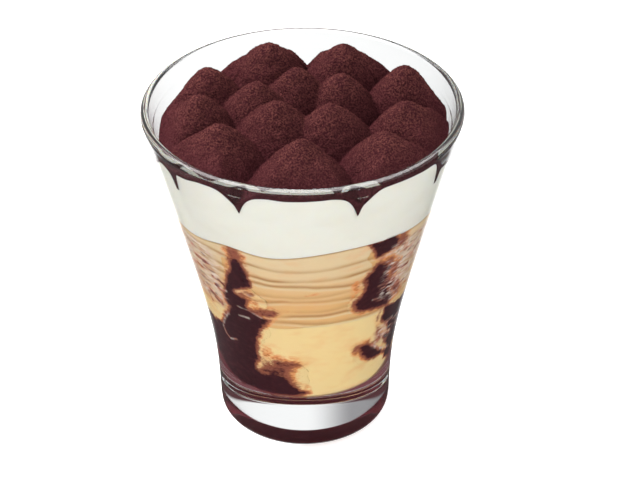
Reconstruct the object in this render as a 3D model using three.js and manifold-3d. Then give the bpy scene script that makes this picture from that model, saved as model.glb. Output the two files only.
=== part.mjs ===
// A layered coffee and mascarpone dessert in its glass: a flared tumbler with a thick clear foot,
// custard and coffee-soaked sponge up to the shoulder, and a cream layer piped into peaks under cocoa.
// Millimetres, +Z up. The origin is the middle of the glass's foot, and -Y is the front.

import * as THREE from 'three';
import { mergeVertices } from 'three/addons/utils/BufferGeometryUtils.js';
import Module from 'manifold-3d';

const wasm = await Module();
wasm.setup();

// The glass
const glassHeight = 86.6;
const rimRadius = 38;
const lipRadius = 1.05;
const footRadius = 20.6;
const heelRadius = 3.6;
const flareStart = 22.3;
const flareBlend = 4.1;
const baseThickness = 15;
const wallAtBase = 2.9;
const cornerRadius = 3.6;
const lipCentre = glassHeight - lipRadius;
const wallAtLip = 2 * lipRadius;

// The fill
const gap = 0.3;
const cocoaDepth = 1.0;
const foldCount = 6;
const foldDepth = 0.55;
const foldUnevenness = 0.3;

// Levels round the glass where one layer meets the next: a mean height, a slow wave and a ripple
const creamLevel = 63.5;
const creamWave = 1.8;
const creamCrest = 30;
const creamRipple = 0.4;
const foldLevel = 40;
const foldWave = 0.9;
const foldRipple = 0.3;

// Facets: round pieces share one number of sides, so that neighbours stay parallel
const sides = 36;
const peakSides = 10;
const peakRings = [1.6, 4.6, 9, 15.5];
const peakFloor = 58;
const lumpDetail = 1;
const fieldReach = 41;
const creamReach = 31;
const foldReach = 25;
const ceiling = glassHeight + 12;

// Piped peaks: height of the tip, place round the glass in degrees, distance from its middle, width
const outerPeaks = [
  { tip: 90.1, azimuth: 110, reach: 24.1, width: 1.12 },
  { tip: 90.1, azimuth: 66, reach: 24.1, width: 1.08 },
  { tip: 90.3, azimuth: 24, reach: 26.5, width: 1.0 },
  { tip: 90.5, azimuth: -13, reach: 24.7, width: 1.0 },
  { tip: 91.2, azimuth: -48, reach: 27.3, width: 1.0 },
  { tip: 92.7, azimuth: -91, reach: 26.4, width: 1.0 },
  { tip: 91.3, azimuth: -138, reach: 25.4, width: 1.04 },
  { tip: 90.4, azimuth: -175, reach: 24.1, width: 0.98 },
  { tip: 90.1, azimuth: -207, reach: 24.7, width: 1.04 },
];
const innerPeaks = [
  { tip: 90.3, azimuth: 98, reach: 10.5, width: 1.0 },
  { tip: 90.0, azimuth: 41, reach: 12.3, width: 1.0 },
  { tip: 91.2, azimuth: -49, reach: 10.2, width: 1.02 },
  { tip: 91.3, azimuth: -132, reach: 9.0, width: 1.05 },
  { tip: 90.3, azimuth: 161, reach: 11.4, width: 1.04 },
];
const tipRounding = 1.8;
const peakSlope = 1.0;
const peakSwell = 0.0022;
const backSwell = 0.6;
const pressStart = 3;
const pressEnd = 9;
const squareness = 7;
const wallSteepness = 1.12;
const backSteepening = 0.07;
const sideEasing = 0.93;

// Cocoa that has run down between the outer peaks and the glass
const runTip = 75.4;
const runShortest = 3;
const runSides = 4;
const creaseLevel = 76;
const runWidth = 1.3;
const runPoint = 0.15;

// Coffee-soaked sponge, each piece a cluster of lumps pressed against the glass: place round the
// glass in degrees, height, half width along the wall, half height, and depth into the custard
const sponges = {
  sponge_left: [
    { azimuth: -124, z: 56, wide: 3.2, tall: 7.4, deep: 6 },
    { azimuth: -122, z: 46.5, wide: 5.6, tall: 6, deep: 8 },
    { azimuth: -133, z: 36.5, wide: 8.8, tall: 8, deep: 10 },
    { azimuth: -140, z: 25.5, wide: 10.4, tall: 9.2, deep: 10 },
  ],
  sponge_front_foot: [
    { azimuth: -107, z: 20, wide: 6.8, tall: 5.4, deep: 7 },
    { azimuth: -98.5, z: 23.8, wide: 4, tall: 4.2, deep: 6 },
  ],
  sponge_right_upper: [
    { azimuth: -50, z: 61, wide: 6.2, tall: 5.6, deep: 8 },
    { azimuth: -50, z: 53.5, wide: 6.8, tall: 5.8, deep: 8 },
    { azimuth: -54, z: 46.5, wide: 6.2, tall: 4.6, deep: 7 },
  ],
  sponge_right_lower: [
    { azimuth: -33, z: 36.5, wide: 4.4, tall: 5.6, deep: 7 },
    { azimuth: -24, z: 29.5, wide: 4.2, tall: 5.4, deep: 7 },
  ],
  sponge_right_small: [
    { azimuth: -47, z: 26.8, wide: 4.4, tall: 3.0, deep: 5 },
  ],
  sponge_back_upper: [
    { azimuth: 92, z: 52, wide: 7.4, tall: 7.4, deep: 9 },
  ],
  sponge_back_left: [
    { azimuth: 146, z: 41, wide: 6, tall: 8, deep: 8 },
    { azimuth: 133, z: 27, wide: 6.8, tall: 8, deep: 8 },
  ],
  sponge_back_right: [
    { azimuth: 42, z: 36, wide: 5.4, tall: 6, deep: 8 },
    { azimuth: 53, z: 27, wide: 6.4, tall: 6.6, deep: 8 },
  ],
};
const lumpInset = 0.35;
const lumpRelief = 0.09;
const lumpWaves = [4.1, 5.3, 4.7];

const degree = Math.PI / 180;

// Outside of the glass: an upright foot that blends into a straight flare, scaled to the rim radius
function flareRadius(z) {
  const slope = (rimRadius - footRadius) / (lipCentre - flareStart);
  const line = footRadius + slope * (z - flareStart);
  return (footRadius + line + Math.hypot(line - footRadius, flareBlend)) / 2;
}

const bendHeights = [-1.5, 0, 1.5, 4].map((step) => flareStart + step * flareBlend);
const flareScale = rimRadius / flareRadius(lipCentre);

function outerRadius(z) {
  return flareRadius(z) * flareScale;
}

function innerRadius(z) {
  const up = (z - baseThickness) / (lipCentre - baseThickness);
  return outerRadius(z) - THREE.MathUtils.lerp(wallAtBase, wallAtLip, up);
}

// Points of a quarter or half circle in the (radius, height) plane, first and last included
function arc(centreR, centreZ, radius, from, to, steps) {
  const points = [];
  for (let i = 0; i <= steps; i += 1) {
    const angle = (from + ((to - from) * i) / steps) * degree;
    points.push(new THREE.Vector2(centreR + radius * Math.cos(angle), centreZ + radius * Math.sin(angle)));
  }
  return points;
}

// Points of a wall up to a height, close together only where the flare bends
function wallPoints(radiusAt, from, to) {
  const bends = bendHeights.filter((z) => z > from && z < to);
  return [from, ...bends, to].map((z) => new THREE.Vector2(radiusAt(z), z));
}

function spin(profile) {
  const geometry = new THREE.LatheGeometry(profile, sides);
  geometry.rotateX(Math.PI / 2);
  return geometry;
}

function glassGeometry() {
  const heel = arc(outerRadius(0) - heelRadius, heelRadius, heelRadius, -90, 0, 4);
  const outside = wallPoints(outerRadius, heelRadius, lipCentre).slice(1);
  const lip = arc(rimRadius - lipRadius, lipCentre, lipRadius, 0, 180, 6).slice(1);
  const cornerTop = baseThickness + cornerRadius;
  const inside = wallPoints(innerRadius, cornerTop, lipCentre).reverse().slice(1);
  const corner = arc(innerRadius(cornerTop) - cornerRadius, cornerTop, cornerRadius, 0, -90, 3).slice(1);
  return spin([
    new THREE.Vector2(0, 0),
    ...heel,
    ...outside,
    ...lip,
    ...inside,
    ...corner,
    new THREE.Vector2(0, baseThickness),
  ]);
}

// A closed geometry as a solid: only positions count, and the flat triangles at a pole are dropped
function toSolid(geometry) {
  const bare = new THREE.BufferGeometry();
  bare.setAttribute('position', geometry.getAttribute('position').clone());
  if (geometry.index) bare.setIndex(geometry.index);
  const merged = mergeVertices(bare, 1e-4);
  const index = merged.index.array;
  const triVerts = [];
  for (let i = 0; i < index.length; i += 3) {
    const [a, b, c] = [index[i], index[i + 1], index[i + 2]];
    if (a !== b && b !== c && c !== a) triVerts.push(a, b, c);
  }
  return new wasm.Manifold(new wasm.Mesh({
    numProp: 3,
    vertProperties: new Float32Array(merged.getAttribute('position').array),
    triVerts: new Uint32Array(triVerts),
  }));
}

function toGeometry(solid) {
  const mesh = solid.getMesh();
  const geometry = new THREE.BufferGeometry();
  geometry.setAttribute('position', new THREE.BufferAttribute(new Float32Array(mesh.vertProperties), 3));
  geometry.setIndex(new THREE.BufferAttribute(new Uint32Array(mesh.triVerts), 1));
  geometry.computeVertexNormals();
  return geometry;
}

// The room inside the glass, a gap clear of its wall and floor, running on upwards past the rim
function cavity() {
  const floor = baseThickness + gap;
  const cornerTop = baseThickness + cornerRadius;
  const clearRadius = (z) => innerRadius(z) - gap;
  return toSolid(spin([
    new THREE.Vector2(0, floor),
    ...arc(clearRadius(cornerTop) - cornerRadius + gap, cornerTop, cornerRadius - gap, -90, 0, 3),
    ...wallPoints(clearRadius, cornerTop, lipCentre).slice(1),
    new THREE.Vector2(clearRadius(lipCentre), ceiling),
    new THREE.Vector2(0, ceiling),
  ]));
}

// Height of the piped surface. An outer peak is round at its tip and squares off where the glass
// and its neighbours press it, so that its foot follows the wall and ends in a crease.
function peakList() {
  const ring = (peak, pressed) => ({
    ...peak,
    pressed,
    outX: Math.cos(peak.azimuth * degree),
    outY: Math.sin(peak.azimuth * degree),
  });
  return [...outerPeaks.map((peak) => ring(peak, true)), ...innerPeaks.map((peak) => ring(peak, false))];
}

const peaks = peakList();

function peakDrop(peak, x, y) {
  const dx = (x - peak.reach * peak.outX) / peak.width;
  const dy = (y - peak.reach * peak.outY) / peak.width;
  let distance = Math.hypot(dx, dy);
  const outward = dx * peak.outX + dy * peak.outY;
  if (peak.pressed && outward > 0) {
    const along = sideEasing * (dy * peak.outX - dx * peak.outY);
    const steep = outward * (wallSteepness + backSteepening * peak.outY);
    const square = Math.pow(steep ** squareness + Math.abs(along) ** squareness, 1 / squareness);
    const press = THREE.MathUtils.smoothstep(distance, pressStart, pressEnd);
    distance = THREE.MathUtils.lerp(distance, square, press);
  }
  const cone = Math.hypot(distance, tipRounding) - tipRounding;
  return peakSlope * cone + peakSwell * (1 + backSwell * peak.outY) * distance ** 3;
}

function cocoaHeight(x, y) {
  return Math.max(...peaks.map((peak) => peak.tip - peakDrop(peak, x, y)));
}

// One peak as rings of points round its tip, closed by a flat floor well inside the cream
function peakSolid(peak) {
  const positions = [peak.reach * peak.outX, peak.reach * peak.outY, peak.tip];
  const [centreX, centreY] = positions;
  const addRing = (radius, heightAt) => {
    for (let side = 0; side < peakSides; side += 1) {
      const angle = (2 * Math.PI * side) / peakSides + peak.azimuth * degree;
      const x = centreX + radius * peak.width * Math.cos(angle);
      const y = centreY + radius * peak.width * Math.sin(angle);
      positions.push(x, y, heightAt(x, y));
    }
  };
  peakRings.forEach((radius) => addRing(radius, (x, y) => peak.tip - peakDrop(peak, x, y)));
  addRing(peakRings.at(-1), () => peakFloor);
  positions.push(centreX, centreY, peakFloor);
  const lastRing = 1 + peakRings.length * peakSides;
  const floorCentre = lastRing + peakSides;
  const index = [];
  for (let side = 0; side < peakSides; side += 1) {
    const next = (side + 1) % peakSides;
    index.push(0, 1 + side, 1 + next, floorCentre, lastRing + next, lastRing + side);
    for (let start = 1; start < lastRing; start += peakSides) {
      const [a, b] = [start + side, start + next];
      index.push(a, b + peakSides, b, a, a + peakSides, b + peakSides);
    }
  }
  const geometry = new THREE.BufferGeometry();
  geometry.setAttribute('position', new THREE.Float32BufferAttribute(positions, 3));
  geometry.setIndex(index);
  return toSolid(geometry);
}

// Levels by the angle from the front, in radians
function creamLine(angle) {
  const wave = creamWave * Math.cos(2 * (angle - creamCrest * degree));
  return creamLevel + wave + creamRipple * Math.sin(5 * angle);
}

function foldLine(angle) {
  return foldLevel + foldWave * Math.sin(3 * angle + 0.6) + foldRipple * Math.sin(7 * angle);
}

// A round layer of rows from its bottom line to its top line, its radius given row by row
function layerSolid(bottomAt, topAt, radiusAt, rows) {
  const positions = [];
  const index = [];
  for (let row = 0; row <= rows; row += 1) {
    for (let side = 0; side < sides; side += 1) {
      const angle = (2 * Math.PI * side) / sides;
      const z = THREE.MathUtils.lerp(bottomAt(angle), topAt(angle), row / rows);
      const radius = radiusAt(z, row, angle);
      positions.push(radius * Math.sin(angle), -radius * Math.cos(angle), z);
    }
  }
  const mean = (lineAt) => (lineAt(0) + lineAt(Math.PI / 2) + lineAt(Math.PI) + lineAt(-Math.PI / 2)) / 4;
  const under = (rows + 1) * sides;
  const over = under + 1;
  positions.push(0, 0, mean(bottomAt), 0, 0, mean(topAt));
  for (let side = 0; side < sides; side += 1) {
    const next = (side + 1) % sides;
    for (let row = 0; row < rows; row += 1) {
      const [a, b] = [row * sides + side, row * sides + next];
      index.push(a, b, b + sides, a, b + sides, a + sides);
    }
    index.push(under, next, side, over, rows * sides + side, rows * sides + next);
  }
  const geometry = new THREE.BufferGeometry();
  geometry.setAttribute('position', new THREE.Float32BufferAttribute(positions, 3));
  geometry.setIndex(index);
  return toSolid(geometry);
}

// The space between two levels, each a shallow cone out to its reach, just past the glass's inside
function zoneSolid(bottomAt, bottomReach, topAt, topReach) {
  return layerSolid(bottomAt, topAt, (z, row) => (row ? topReach : bottomReach), 1);
}

// One lump of sponge against the glass, swollen by a clearance when it cuts its neighbours
function lumpSolid(lump, clearance) {
  const geometry = new THREE.IcosahedronGeometry(1, lumpDetail);
  const position = geometry.getAttribute('position');
  const point = new THREE.Vector3();
  const seed = lump.azimuth + lump.z;
  for (let i = 0; i < position.count; i += 1) {
    point.fromBufferAttribute(position, i);
    const [x, y, z] = lumpWaves.map((waves, axis) => waves * point.getComponent(axis));
    const relief = Math.sin(x + seed) + Math.sin(y - seed) + Math.sin(z);
    point.multiplyScalar(1 + lumpRelief * relief);
    position.setXYZ(i, point.x, point.y, point.z);
  }
  geometry.scale(lump.deep + clearance, lump.wide + clearance, lump.tall + clearance);
  geometry.translate(innerRadius(lump.z) - lumpInset * lump.deep, 0, lump.z);
  geometry.rotateZ(lump.azimuth * degree);
  return toSolid(geometry);
}

function lumpCluster(lumps, clearance) {
  return lumps.map((lump) => lumpSolid(lump, clearance)).reduce((all, lump) => all.add(lump));
}

// A tapering run of cocoa down the wall, in the crease between two outer peaks
function cocoaRun(azimuth, clearance) {
  const wall = innerRadius(creaseLevel);
  const top = cocoaHeight(wall * Math.cos(azimuth * degree), wall * Math.sin(azimuth * degree));
  const reach = Math.max(top - runTip, runShortest);
  const length = reach + clearance;
  const geometry = new THREE.CylinderGeometry(runWidth + clearance, runPoint + clearance, length, runSides);
  geometry.rotateX(Math.PI / 2);
  geometry.rotateY(Math.atan((innerRadius(top) - innerRadius(top - reach)) / reach));
  const middle = top - length / 2;
  geometry.translate(innerRadius(middle) - gap, 0, middle);
  geometry.rotateZ(azimuth * degree);
  return toSolid(geometry);
}

function cocoaRuns(clearance) {
  const azimuths = outerPeaks.map((peak, i) => {
    const next = outerPeaks[(i + 1) % outerPeaks.length];
    const turn = i + 1 < outerPeaks.length ? 0 : -360;
    return (peak.azimuth + next.azimuth + turn) / 2;
  });
  return azimuths.map((azimuth) => cocoaRun(azimuth, clearance)).reduce((all, run) => all.add(run));
}

const room = cavity();
const piped = peaks.map(peakSolid).reduce((all, peak) => all.add(peak));

function cocoaSolid() {
  const coat = piped.subtract(piped.translate(0, 0, -cocoaDepth));
  return coat.add(cocoaRuns(0)).intersect(room);
}

function creamSolid() {
  const above = zoneSolid(creamLine, creamReach, () => ceiling, fieldReach);
  const underCocoa = piped.translate(0, 0, -cocoaDepth - gap);
  return underCocoa.intersect(above).intersect(room).subtract(cocoaRuns(gap));
}

// Custard and sponge share the room below the cream
const belowCream = (angle) => creamLine(angle) - gap;
const spongeRoom = zoneSolid(() => baseThickness, fieldReach, belowCream, creamReach).intersect(room);

function spongeSolids() {
  const solids = {};
  let taken = null;
  Object.entries(sponges).forEach(([name, lumps]) => {
    const piece = lumpCluster(lumps, 0).intersect(spongeRoom);
    solids[name] = taken ? piece.subtract(taken) : piece;
    const swollen = lumpCluster(lumps, gap);
    taken = taken ? taken.add(swollen) : swollen;
  });
  return { solids, taken };
}

const { solids: spongePieces, taken: spongeSpace } = spongeSolids();

function smoothCustard() {
  const layer = zoneSolid(() => baseThickness, fieldReach, foldLine, foldReach);
  return layer.intersect(room).subtract(spongeSpace);
}

// The folded custard has wavy folds against the glass: every other row is a groove
function foldedCustard() {
  const radiusAt = (z, row, angle) => {
    const groove = foldDepth * (1 - foldUnevenness + foldUnevenness * Math.sin(4 * angle + row));
    return innerRadius(z) - gap - (row % 2 ? groove : 0);
  };
  const lowest = (angle) => foldLine(angle) - gap;
  const highest = (angle) => creamLine(angle) + gap;
  const folds = layerSolid(lowest, highest, radiusAt, 2 * foldCount);
  const level = zoneSolid((angle) => foldLine(angle) + gap, foldReach, belowCream, creamReach);
  return folds.intersect(level).subtract(spongeSpace);
}

function material(color, roughness, options = {}) {
  return new THREE.MeshStandardMaterial({ color, roughness, metalness: 0, ...options });
}

const dessert = new THREE.Group();

function addPiece(name, geometry, finish) {
  const mesh = new THREE.Mesh(geometry, finish);
  mesh.name = name;
  dessert.add(mesh);
}

addPiece('glass', glassGeometry(), material(0xe9eff0, 0.03, { transparent: true, opacity: 0.35 }));
addPiece('custard_smooth', toGeometry(smoothCustard()), material(0xebd196, 0.45));
addPiece('custard_folded', toGeometry(foldedCustard()), material(0xe2c091, 0.5));
Object.entries(spongePieces).forEach(([name, solid]) => {
  addPiece(name, toGeometry(solid), material(0x3f1f24, 0.8));
});
addPiece('cream_peaks', toGeometry(creamSolid()), material(0xefede2, 0.5));
addPiece('cocoa_coat', toGeometry(cocoaSolid()), material(0x532c2c, 0.95));

export default dessert;
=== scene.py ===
"""A layered coffee and mascarpone dessert in its glass, with piped peaks under cocoa.

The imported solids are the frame. Every piece here is the fine version of one of them, in metres,
with +Z up and the front towards -Y. Shapes are worked out in millimetres and scaled at the end.
"""

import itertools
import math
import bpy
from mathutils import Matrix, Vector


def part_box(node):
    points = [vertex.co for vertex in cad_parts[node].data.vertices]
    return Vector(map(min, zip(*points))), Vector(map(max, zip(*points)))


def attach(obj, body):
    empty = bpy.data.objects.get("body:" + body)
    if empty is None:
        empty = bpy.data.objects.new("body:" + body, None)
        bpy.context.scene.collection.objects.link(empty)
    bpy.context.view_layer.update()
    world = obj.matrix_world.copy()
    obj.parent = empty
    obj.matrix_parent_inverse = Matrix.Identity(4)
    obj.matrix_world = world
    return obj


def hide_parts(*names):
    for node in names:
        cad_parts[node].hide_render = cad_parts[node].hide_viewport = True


bl_info = {
    "name": "Layered dessert in a glass",
    "version": (1, 0, 0),
    "blender": (4, 5, 0),
    "location": "3D View > Sidebar > Dessert",
    "description": "Builds a layered coffee dessert with piped cream peaks in its glass",
    "category": "Add Mesh",
}

import bmesh
import bpy
import numpy as np
from bpy.props import FloatProperty, FloatVectorProperty, IntProperty, PointerProperty
from mathutils import Matrix, Vector

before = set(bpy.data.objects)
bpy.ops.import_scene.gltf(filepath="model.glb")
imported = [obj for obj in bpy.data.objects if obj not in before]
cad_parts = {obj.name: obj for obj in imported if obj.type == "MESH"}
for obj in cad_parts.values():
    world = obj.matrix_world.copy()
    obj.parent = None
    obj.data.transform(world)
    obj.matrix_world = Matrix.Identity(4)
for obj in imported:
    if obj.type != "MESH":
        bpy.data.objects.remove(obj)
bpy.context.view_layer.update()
GLASS_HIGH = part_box("glass")[1]

MM = 0.001  # metres in a millimetre
DEGREE = math.pi / 180
TINY = 1e-6  # keeps a division from meeting 0

# Noises: size of the largest lumps in millimetres, octaves, and seed
RIPPLE = (9.0, 2, 3)
WOBBLE = (6.0, 2, 11)
CLUMPS = (1.5, 2, 21)
GRAINS = (0.45, 2, 31)
FOLD_WANDER = (11.0, 3, 41)
FOLD_BREAKS = (14.0, 2, 43)
CRUMB = (3.4, 2, 50)
FINE_CRUMB = (1.1, 3, 60)
SOAKED_EDGE = (5.0, 2, 71)
STAIN_EDGE = (3.2, 3, 77)
LUMP_EDGE = (4.4, 3, 78)
SMEAR_END = (4.0, 3, 79)
SOAKED_BACK_EDGE = (6.5, 3, 80)

# Points along each part of the glass's section
UNDER_POINTS = 48
HEEL_POINTS = 14
OUTSIDE_POINTS = 90
LIP_POINTS = 19
INSIDE_POINTS = (8, 40, 120)  # above, across and below the moulded ring
CORNER_POINTS = 14
FLOOR_POINTS = 10
RING_WIDTH = 0.35  # half width of the moulded ring
RING_SPAN = 1.2  # how far from the ring the section is fine
GLASS_TINT = (0.975, 0.99, 0.99)
GLASS_SHADOW = (0.96, 0.97, 0.97)

# Piped peaks: height of the tip, place round the glass in degrees, distance from its middle, width
OUTER_PEAKS = (
    (90.1, 110, 24.1, 1.12),
    (90.1, 66, 24.1, 1.08),
    (90.3, 24, 26.5, 1.0),
    (90.5, -13, 24.7, 1.0),
    (91.2, -48, 27.3, 1.0),
    (92.7, -91, 26.4, 1.0),
    (91.3, -138, 25.4, 1.04),
    (90.4, -175, 24.1, 0.98),
    (90.1, -207, 24.7, 1.04),
)
INNER_PEAKS = (
    (90.3, 98, 10.5, 1.0),
    (90.0, 41, 12.3, 1.0),
    (91.2, -49, 10.2, 1.02),
    (91.3, -132, 9.0, 1.05),
    (90.3, 161, 11.4, 1.04),
)
PEAK_SWELL = 0.0022  # how much steeper a peak's flank gets further from its tip
BACK_SWELL = 0.6  # more of that at the back and less in front
PRESS_START = 3.0  # distance from the tip where the wall starts to square a peak off
PRESS_END = 9.0
SQUARENESS = 7
WALL_STEEPNESS = 1.12  # how much steeper a peak is towards the wall
BACK_STEEPENING = 0.07
SIDE_EASING = 0.93
# Painted light on the crests fades into painted shade in the creases between these drops under a tip.
CREST_LIGHT_DROPS = (1.0, 11.0)  # drops under a tip between which the crest's colour fades
EDGE_SEARCH = 20.0  # radius where the search for the wall starts
EDGE_BEYOND = 2.0  # how far outside the rim it ends
EDGE_STEPS = 36
EDGE_TABLE = 2048  # directions for which the cocoa's edge is worked out
NORMAL_STEP = 0.05  # how far to each side the heights are taken that give a slope

# The cocoa's lower edge on the wall, under each outer peak and down in the run that follows it
ARC_LEVELS = (82.6, 82.4, 81.4, 80.9, 84.2, 83.4, 84.4, 81.6, 81.4)
RUN_TIPS = (75.4, 76.0, 75.4, 75.6, 76.7, 77.2, 76.2, 75.4, 75.6)
RUN_WIDTHS = (1.8, 2.0, 1.8, 1.4, 1.9, 2.0, 1.2, 1.8, 1.9)
RUN_POWER = 1.15
RUN_SHIFTS = (0, 0, 0, 0, 0, 0, 12, 0, 0)  # degrees from the crease
RUN_REACH = 1.5  # how far a run bends the line, as a share of the peaks' spacing

# Cream squeezed up the wall beside a peak: place, half width in degrees, and height
SQUEEZES = ((-129, 13, 2.6), (-50, 14, 2.2))
SQUEEZE_RADII = (27.0, 35.0)  # radii between which it rises

# The cocoa coat: shares of its radius where the relief ends, its underside starts to close,
# and its underside ends, and the rows of points down the wall
RELIEF_END = 0.97
UNDER_FADE = 0.96
UNDER_END = 0.985
COAT_ROWS = 14

# Loose grains: most of them to a square metre, and the least upward slant that holds one
GRAIN_DENSITY = 4.0e6
GRAIN_SLOPE = 0.3

# The cream: how far it stays back from its neighbours at the wall, the groove along its lower
# edge, and how far it reaches up into the cocoa, at the wall and on top
SEAM = 0.03
GROOVE_DEPTH = 0.2
GROOVE_HEIGHT = 0.5
COCOA_LAP = 0.3
COCOA_SINK = 0.1
CREAM_FADE = 0.93
CREAM_COARSENESS = 5  # facets round a layer for each cell across the cream

# Levels round the glass where one layer meets the next
CREAM_LEVEL = 63.9
CREAM_WAVE = 1.8
CREAM_WAVES = 2
CREAM_CREST = 30
CREAM_RIPPLE = 0.4
CREAM_RIPPLES = 5
CREAM_RISE = 2.0
CREAM_RISE_PLACE = -124
CREAM_RISE_WIDTH = 14
FOLD_LEVEL = 40.0
FOLD_WAVE = 0.9
FOLD_WAVES = 3
FOLD_PHASE = 0.6
FOLD_RIPPLE = 0.3
FOLD_RIPPLES = 7
CAP_RINGS = (0.85, 0.55, 0.2)  # rings of points across a layer's top and bottom
BASE_SINK = 0.05  # how far the fill presses into the glass's floor
FOLD_SEAM = 0.02  # how far the custard stays back from its neighbours at the wall

# Folds in the custard: level, wave, waves round the glass, place of a crest in degrees, strength
FOLDS = (
    (60.2, 0.9, 4, -137, 1.0),
    (56.7, 0.8, 3, -155, 1.0),
    (53.6, 0.8, 2, -120, 0.9),
    (50.9, 0.5, 5, -60, 0.4),
    (48.6, 0.6, 4, -85, 1.0),
    (46.0, 0.5, 3, -40, 0.4),
    (43.8, 0.6, 3, -70, 0.9),
    (41.3, 0.4, 4, -100, 0.7),
)
FOLD_RADIUS = 30  # radius at which the folds' noise is taken
FOLD_WANDER_DEPTH = 0.5
FOLD_ABOVE, FOLD_BELOW = 0.75, 0.28  # softness of a fold's upper and lower side
# Painted highlight: a lighter band on the ridge under each fold.
RIDGE_DROP, RIDGE_WIDTH = 0.75, 0.4  # place and half width of the ridge under a fold
# How a fold comes and goes along its length: middle, swing, turns of the noise, and the least
FOLD_PRESENCE = (0.9, 0.5, 3.0, 0.45)
SEAM_SHADE, SEAM_WIDTH = 0.8, 0.35  # shade right under the cream

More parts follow.
